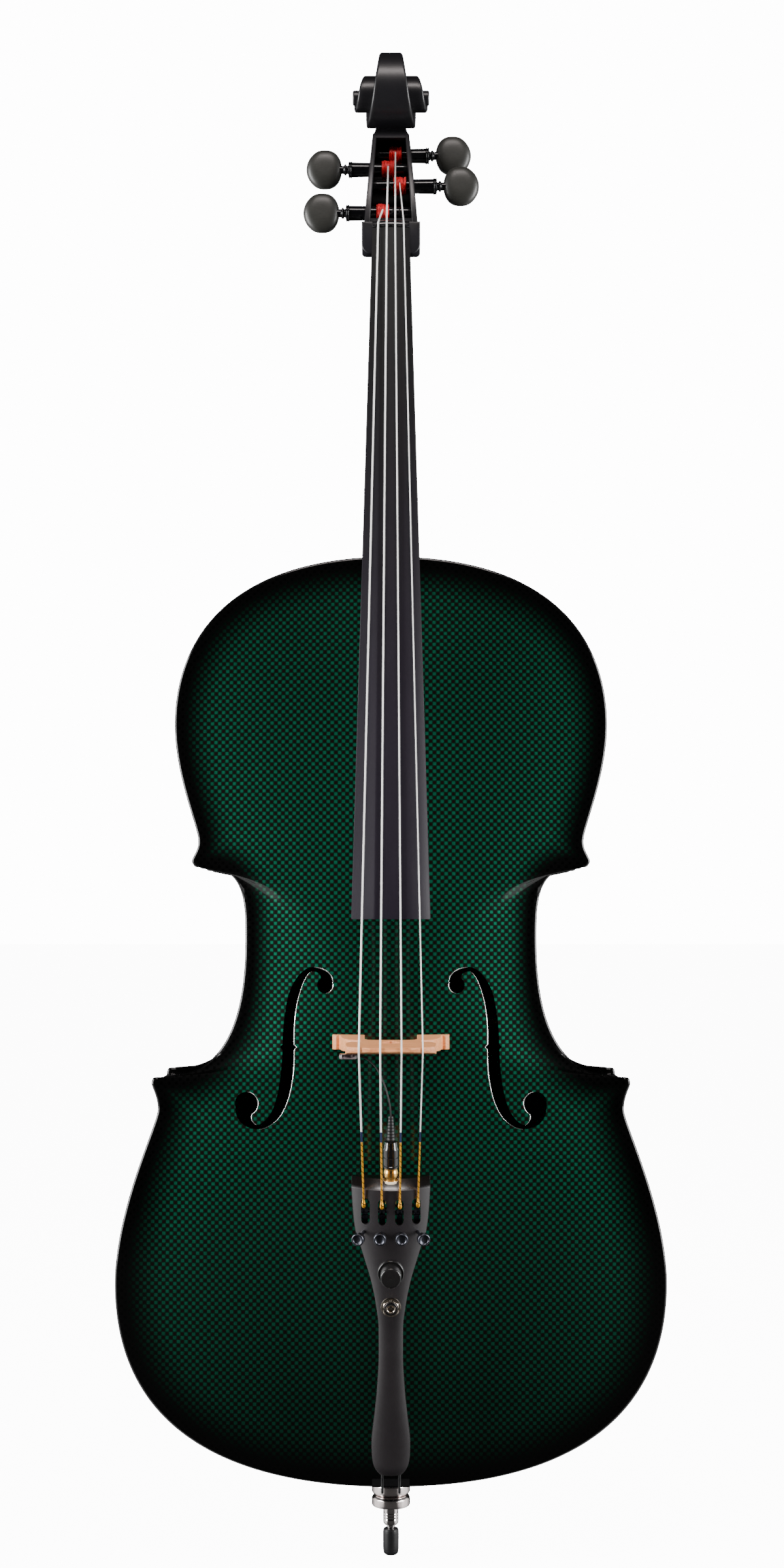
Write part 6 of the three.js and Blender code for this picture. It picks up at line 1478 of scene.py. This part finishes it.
# %% Strings
string_finish, tree, surface, place = finish("wound_string")
height = axes(tree, place)["Z"]
golden = between(tree, height, 0.3526, 0.3530, 1.0, 0.0)
blue = maths(tree, "MULTIPLY", between(tree, height, 0.3526, 0.3530), between(tree, height, 0.3605, 0.3609, 1.0, 0.0))
around = axes(tree, node(tree, "Attribute", attribute_name="around").outputs["Vector"])
angle = maths(tree, "DIVIDE", maths(tree, "ARCTAN2", around["Y"], around["X"]), 2 * math.pi)
phase = maths(tree, "PINGPONG", maths(tree, "MULTIPLY_ADD", around["Z"], 1 / 4.3, angle), 0.5)
spiral = tint(tree, between(tree, phase, 0.05, 0.09), (0.01, 0.006, 0.004), (1.0, 0.46, 0.03))
shade = tint(tree, blue, tint(tree, golden, (0.98, 0.97, 0.95), spiral), (0.006, 0.012, 0.07))
metal = maths(tree, "MULTIPLY", maths(tree, "MULTIPLY_ADD", golden, 0.8, 0.04), maths(tree, "SUBTRACT", 1.0, blue))
ribs = maths(tree, "PINGPONG", maths(tree, "DIVIDE", around["Z"], 0.35), 0.5)
wire(tree, surface, {"Base Color": shade, "Metallic": metal, "Roughness": 0.36,
                     "Normal": bump(tree, ribs, 0.1, 0.0001)})
DIAMETERS = {"c": 1.55, "g": 1.5, "d": 1.35, "a": 1.15}
NUT_STEP, BRIDGE_STEP, FORK_STEP = 7.13, 16.27, 13.9


def winding_radius(peg):
    """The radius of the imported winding, which has twelve sides."""
    return (shaft_radius(peg) + 0.75) / math.cos(math.pi / 12) + 0.3


def string_line(name):
    """Winding to nut to bridge to tuner, straight between, eased where it bends, ending in a ball."""
    peg, place_x, r = PEGS[name], PLACES[name], DIAMETERS[name] / 2
    nut_x, bridge_x, slot_x = place_x * NUT_STEP, place_x * BRIDGE_STEP, place_x * FORK_STEP
    nut_y = -58 + float(sagitta(nut_x)) - r - 0.3
    over = float(crown_at(bridge_x)) - r - 0.3
    sink = 0.29 * TAIL_HEAD * (slot_x / TAIL_HEAD) ** 2
    end = from_tail([(slot_x, sink - r - 0.3, TAIL_LENGTH - 20.5 + 4.2 + 1.5)])[0]
    off_peg = peg["y"] - winding_radius(peg) - 0.75 - r - 0.3
    route = [(peg["winding"], off_peg, peg["z"]), (nut_x, nut_y, NUT_Z + 2.5), (nut_x, nut_y, NUT_Z),
             (bridge_x, over, TAIL_FACE + 5.8), (bridge_x, over, TAIL_FACE + 2.6), end]
    line = softened(route, 1.2)
    stretches = [np.linspace(a, b, 3 if np.linalg.norm(b - a) > 20 else 2)[:-1] for a, b in zip(line, line[1:])]
    body = np.concatenate(stretches)
    last = line[-1] - body[-1]
    last /= np.linalg.norm(last)
    ball = np.array([end - last * k for k in (16, 12, 9, 7, 5.4, 4.2, 3.2, 2.2, 1.3, 0.6, 0.15)])
    swell = np.array([1, 1, 1.06, 1.25, 1.6, 1.95, 2.15, 2.1, 1.75, 1.08, 0.3])
    radii = np.maximum(r, swell * max(r, 0.75)) * np.minimum(swell, 1)
    return np.concatenate([body, ball]), np.concatenate([np.full(len(body), r), radii])


for name in PLACES:
    line, radii = string_line(name)
    wound = mesh_object(f"wound_string_{name}", [sweep(line, radii, 14)])
    run = run_along(line)
    t = np.arange(14) / 14 * 2 * np.pi
    turn = np.stack(np.broadcast_arrays(np.cos(t)[None], np.sin(t)[None], run[:, None]), axis=-1).reshape(-1, 3)
    around = wound.data.attributes.new("around", "FLOAT_VECTOR", "POINT")
    around.data.foreach_set("vector", np.concatenate([turn, [(1, 0, 0), (1, 0, run[-1])]]).astype(np.float32).ravel())
    dress(wound, string_finish, [f"string_{name}"], sharp=60)

# %% [markdown]
# A loop of dark cord holds the tailpiece: two strands leave its foot, cross the saddle and meet round the
# endpin's throat. It is tied for good and pulled tight, so it is a tube swept along one smooth closed route.

# %% Tailgut
loop_r, loop_z = 11.8, 70.6


def gut_side(side):
    """From inside the tailpiece's foot over the saddle to the back of the endpin's throat."""
    x = side * GUT_X
    foot = from_tail([(x, GUT_Y, height) for height in (8.4, 4.5, 0, -4.5)]).tolist()
    saddle = [(x, -70.2, 69.8), (x, -67.0, 67.2), (x, -54.1, 66.9), (x, -2.4 * loop_r, loop_z)]
    throat = [(side * loop_r * a, loop_r * b, loop_z) for a, b in ((0.85, -0.75), (1.02, 0), (0.74, 0.74))]
    return foot + saddle + throat


gut_line = through(gut_side(-1) + [(0, loop_r * 1.04, loop_z)] + gut_side(1)[::-1], 220)
dress(mesh_object("tail_cord", [sweep(gut_line, 1.0, 12)]), cable, ["tailgut"], sharp=60)

# %% [markdown]
# The endpin's collar and lock nut are chromed, with a crossed knurl on both rings and a polished groove between.
# The rod slides inside, and its lower end has a ferrule, a thin neck and a rubber tip. All of them are turned,
# so they are spun profiles. A knurl is too fine for faces: it is bump from the angle and the height, and a mask
# by height keeps it to its two bands.

# %% Endpin
knurled, tree, surface, place = finish("knurled_chrome")
shine = worn(tree, place, 0.1, 0.08)
cross = use(tree, knurl, {"Place": place, "Pitch": 0.0011, "Radius": 0.01575})["Height"]
height = axes(tree, place)["Z"]
bands = []
for low, high in ((0.0412, 0.0466), (0.0516, 0.0570)):
    over, under = between(tree, height, low, low + 0.0004), between(tree, height, high, high + 0.0004, 1.0, 0.0)
    bands.append(maths(tree, "MULTIPLY", over, under))
band = maths(tree, "MAXIMUM", *bands)
wire(tree, surface, {"Base Color": tint(tree, shine["Mask"], (0.80, 0.71, 0.69), (0.94, 0.86, 0.84)),
                     "Metallic": 1.0, "Roughness": maths(tree, "MULTIPLY_ADD", band, 0.08, shine["Roughness"]),
                     "Normal": bump(tree, maths(tree, "MULTIPLY", cross, band), 0.22, 0.0003)})
BORE = 5.35
nut_rows = [(BORE, 39.7), (13.6, 39.7), (14.9, 40.1), (15.6, 40.9), (15.75, 41.6), (15.75, 46.4), (15.5, 47.3),
            (14.6, 48.3), (13.55, 49.0), (BORE, 49.0), (BORE, 39.7)]
lock_nut = mesh_object("knurled_lock_nut", [lathe(softened(nut_rows, 0.5, 4), 128)])
dress(lock_nut, knurled, ["endpin_lock_nut"], sharp=40)
plug_rows = [(BORE, 49.3), (13.55, 49.3), (14.6, 50.2), (15.5, 51.2), (15.75, 51.9), (15.75, 57.4), (15.4, 58.6),
             (14.65, 59.7), (14.65, 68.4), (14.2, 69.0), (10.5, 69.0), (10.5, 73.4), (12.5, 73.7), (11.0, 111.4),
             (BORE, 111.4), (BORE, 49.3)]
flange = mesh_object("endpin_flange", [lathe(softened(plug_rows, 0.5, 4), 128)])
dress(flange, knurled, ["endpin_plug"], sharp=40)
rod_rows = [(0, 8.5), (3.4, 8.5), (3.4, 23.8), (3.6, 24.5), (5.15, 24.6), (6.1, 25.9), (6.25, 27), (6.25, 29.6),
            (6.12, 29.8), (6.25, 30.0), (6.25, 31.8), (6.12, 32.0), (6.25, 32.2), (6.25, 34.0), (6.12, 34.2),
            (6.25, 34.4), (6.25, 39.0), (5.6, 39.4), (5.0, 39.4), (5.0, 488.6), (4.4, 489.4), (0, 489.4)]
dress(mesh_object("sliding_rod", [lathe(rod_rows, 96)]), chrome, ["endpin_rod"], sharp=50)
rubber, tree, surface, place = finish("black_rubber")
shine = worn(tree, place, 0.5, 0.2)
pores = noise(tree, place, 1800.0, 3.0)
wire(tree, surface, {"Base Color": tint(tree, shine["Mask"], (0.003, 0.003, 0.0038), (0.009, 0.009, 0.0105)),
                     "Roughness": shine["Roughness"], "Normal": bump(tree, pores, 0.2, 0.0002)})
tip_rows = [(0, 0), (3.6, 0), (4.2, 0.15), (5.9, 1.5), (6.25, 3.2), (6.3, 4.4), (6.42, 4.6), (6.45, 10), (6.5, 18.0),
            (6.35, 20.2), (5.7, 21.4), (3.75, 21.5), (3.75, 8.2), (0, 8.2)]
tip = mesh_object("rubber_tip", [lathe(softened(tip_rows, 0.35, 4), 96)])
dress(tip, rubber, ["endpin_tip"], sharp=40)

# %% [markdown]
# What the body hides is shown as packed: blocks, bass bar and sound post in pale spruce, the metal parts inside
# the tailpiece in dull steel, and the socket in brass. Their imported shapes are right, so they only get a finish.
# Spruce has its year rings as fine lines, which wander a little.

# %% Hidden parts
spruce, tree, surface, place = finish("raw_spruce")
rings = maths(tree, "DIVIDE", axes(tree, place)["X"], 0.0016)
rings = maths(tree, "PINGPONG", maths(tree, "MULTIPLY_ADD", noise(tree, place, 20.0), 0.6, rings), 0.5)
years = tint(tree, between(tree, rings, 0.3, 0.5), (0.72, 0.52, 0.28), (0.48, 0.27, 0.11))
wire(tree, surface, {"Base Color": years, "Roughness": worn(tree, place, 0.7, 0.1)["Roughness"]})
CARRIED = {
    spruce: ("spruce", ["neck_block", "end_block", "bass_bar", "sound_post"]
             + [f"{level}_corner_block_{word}" for level in ("upper", "lower") for word in ("left", "right")]),
    steel: ("chrome", ["tuner_axle", "volume_pot", "volume_shaft", "output_jack"]
            + [f"tuner_lever_{name}" for name in PLACES]),
    gold: ("brass", ["input_socket"]),
}
for material, (slot_name, names) in CARRIED.items():
    for name in names:
        shown = frame["nodes"][name]
        shown.data.materials.clear()
        shown.data.materials.append(material)
print("carried over:", sum(len(names) for _, names in CARRIED.values()))

# %% [markdown]
# The set is plain: a pale floor and soft light. Gloss black stays black only where nothing bright stands in the
# mirror's direction. So the lights are large and stand far out to the sides and high up, and the floor is pale
# to the eye but dim to the lacquer. Cards on the floor, out to both sides, are seen only in a mirror. Two walls
# of the world, far to the left and right, give a little light and are three times as bright in a mirror. Cards
# and walls draw the long streaks on the rims. The floor and the far background have one white, so that no line
# shows where they meet.

# %% Floor and light
floor_finish, tree, surface, place = finish("pale_floor")
seen, mirrored = (node(tree, "LightPath").outputs[kind] for kind in ("Is Camera Ray", "Is Glossy Ray"))
parts = axes(tree, place)
beside = maths(tree, "MULTIPLY_ADD", maths(tree, "ABSOLUTE", parts["Y"]), -1.2, maths(tree, "ABSOLUTE", parts["X"]))
card = maths(tree, "MULTIPLY", mirrored, between(tree, beside, 0.0, 0.05, 0.0, 1.3))
wire(tree, surface, {"Base Color": tint(tree, seen, (0.04, 0.04, 0.04), (0.72, 0.72, 0.72)), "Roughness": 0.95,
                     "Specular IOR Level": 0.0, "Emission Color": (1.0, 1.0, 1.0, 1),
                     "Emission Strength": maths(tree, "MULTIPLY_ADD", seen, 12.0, card)})
sheet = np.array([(-30000.0, -6000, 0), (30000, -6000, 0), (30000, 60000, 0), (-30000, 60000, 0)])
floor = mesh_object("floor", [(sheet, [[0, 1, 2, 3]])])
floor.data.materials.append(floor_finish)
world = bpy.data.worlds.new("studio")
bpy.context.scene.world = world
world.use_nodes = True
tree = world.node_tree
background = tree.nodes["Background"]
rays = node(tree, "LightPath").outputs
sideways = axes(tree, tree.nodes.new("ShaderNodeTexCoord").outputs["Generated"])["X"]
walls = between(tree, maths(tree, "ABSOLUTE", sideways), 0.70, 0.92)
walls = maths(tree, "MULTIPLY", walls, maths(tree, "MULTIPLY_ADD", rays["Is Glossy Ray"], 0.7, 0.35))
dim = maths(tree, "ADD", walls, 0.015)
tree.links.new(maths(tree, "MULTIPLY_ADD", rays["Is Camera Ray"], 14.0, dim), background.inputs["Strength"])
background.inputs["Color"].default_value = (1, 1, 1, 1)


def soft_light(name, where, aim, size, power, colour=(1, 1, 1)):
    """A rectangular light that looks at a point."""
    data = bpy.data.lights.new(name, "AREA")
    data.shape = "RECTANGLE"
    data.size, data.size_y = size
    data.energy = power
    data.color = colour
    made = bpy.data.objects.new(name, data)
    made.location = where
    way = np.array(aim, float) - np.array(where, float)
    flat = math.hypot(way[0], way[1])
    made.rotation_euler = (math.atan2(flat, -way[2]), 0, math.atan2(-way[0], way[1]))
    made.visible_camera = False
    bpy.context.scene.collection.objects.link(made)
    return made


soft_light("left_softbox", (-2.4, -1.0, 0.95), (0, 0, 0.6), (0.8, 1.8), 135)
soft_light("right_softbox", (2.4, -1.0, 0.95), (0, 0, 0.6), (0.8, 1.8), 112)
soft_light("overhead", (0, -1.7, 3.0), (0, 0, 0.75), (1.6, 0.5), 44, (1.0, 0.92, 0.9))
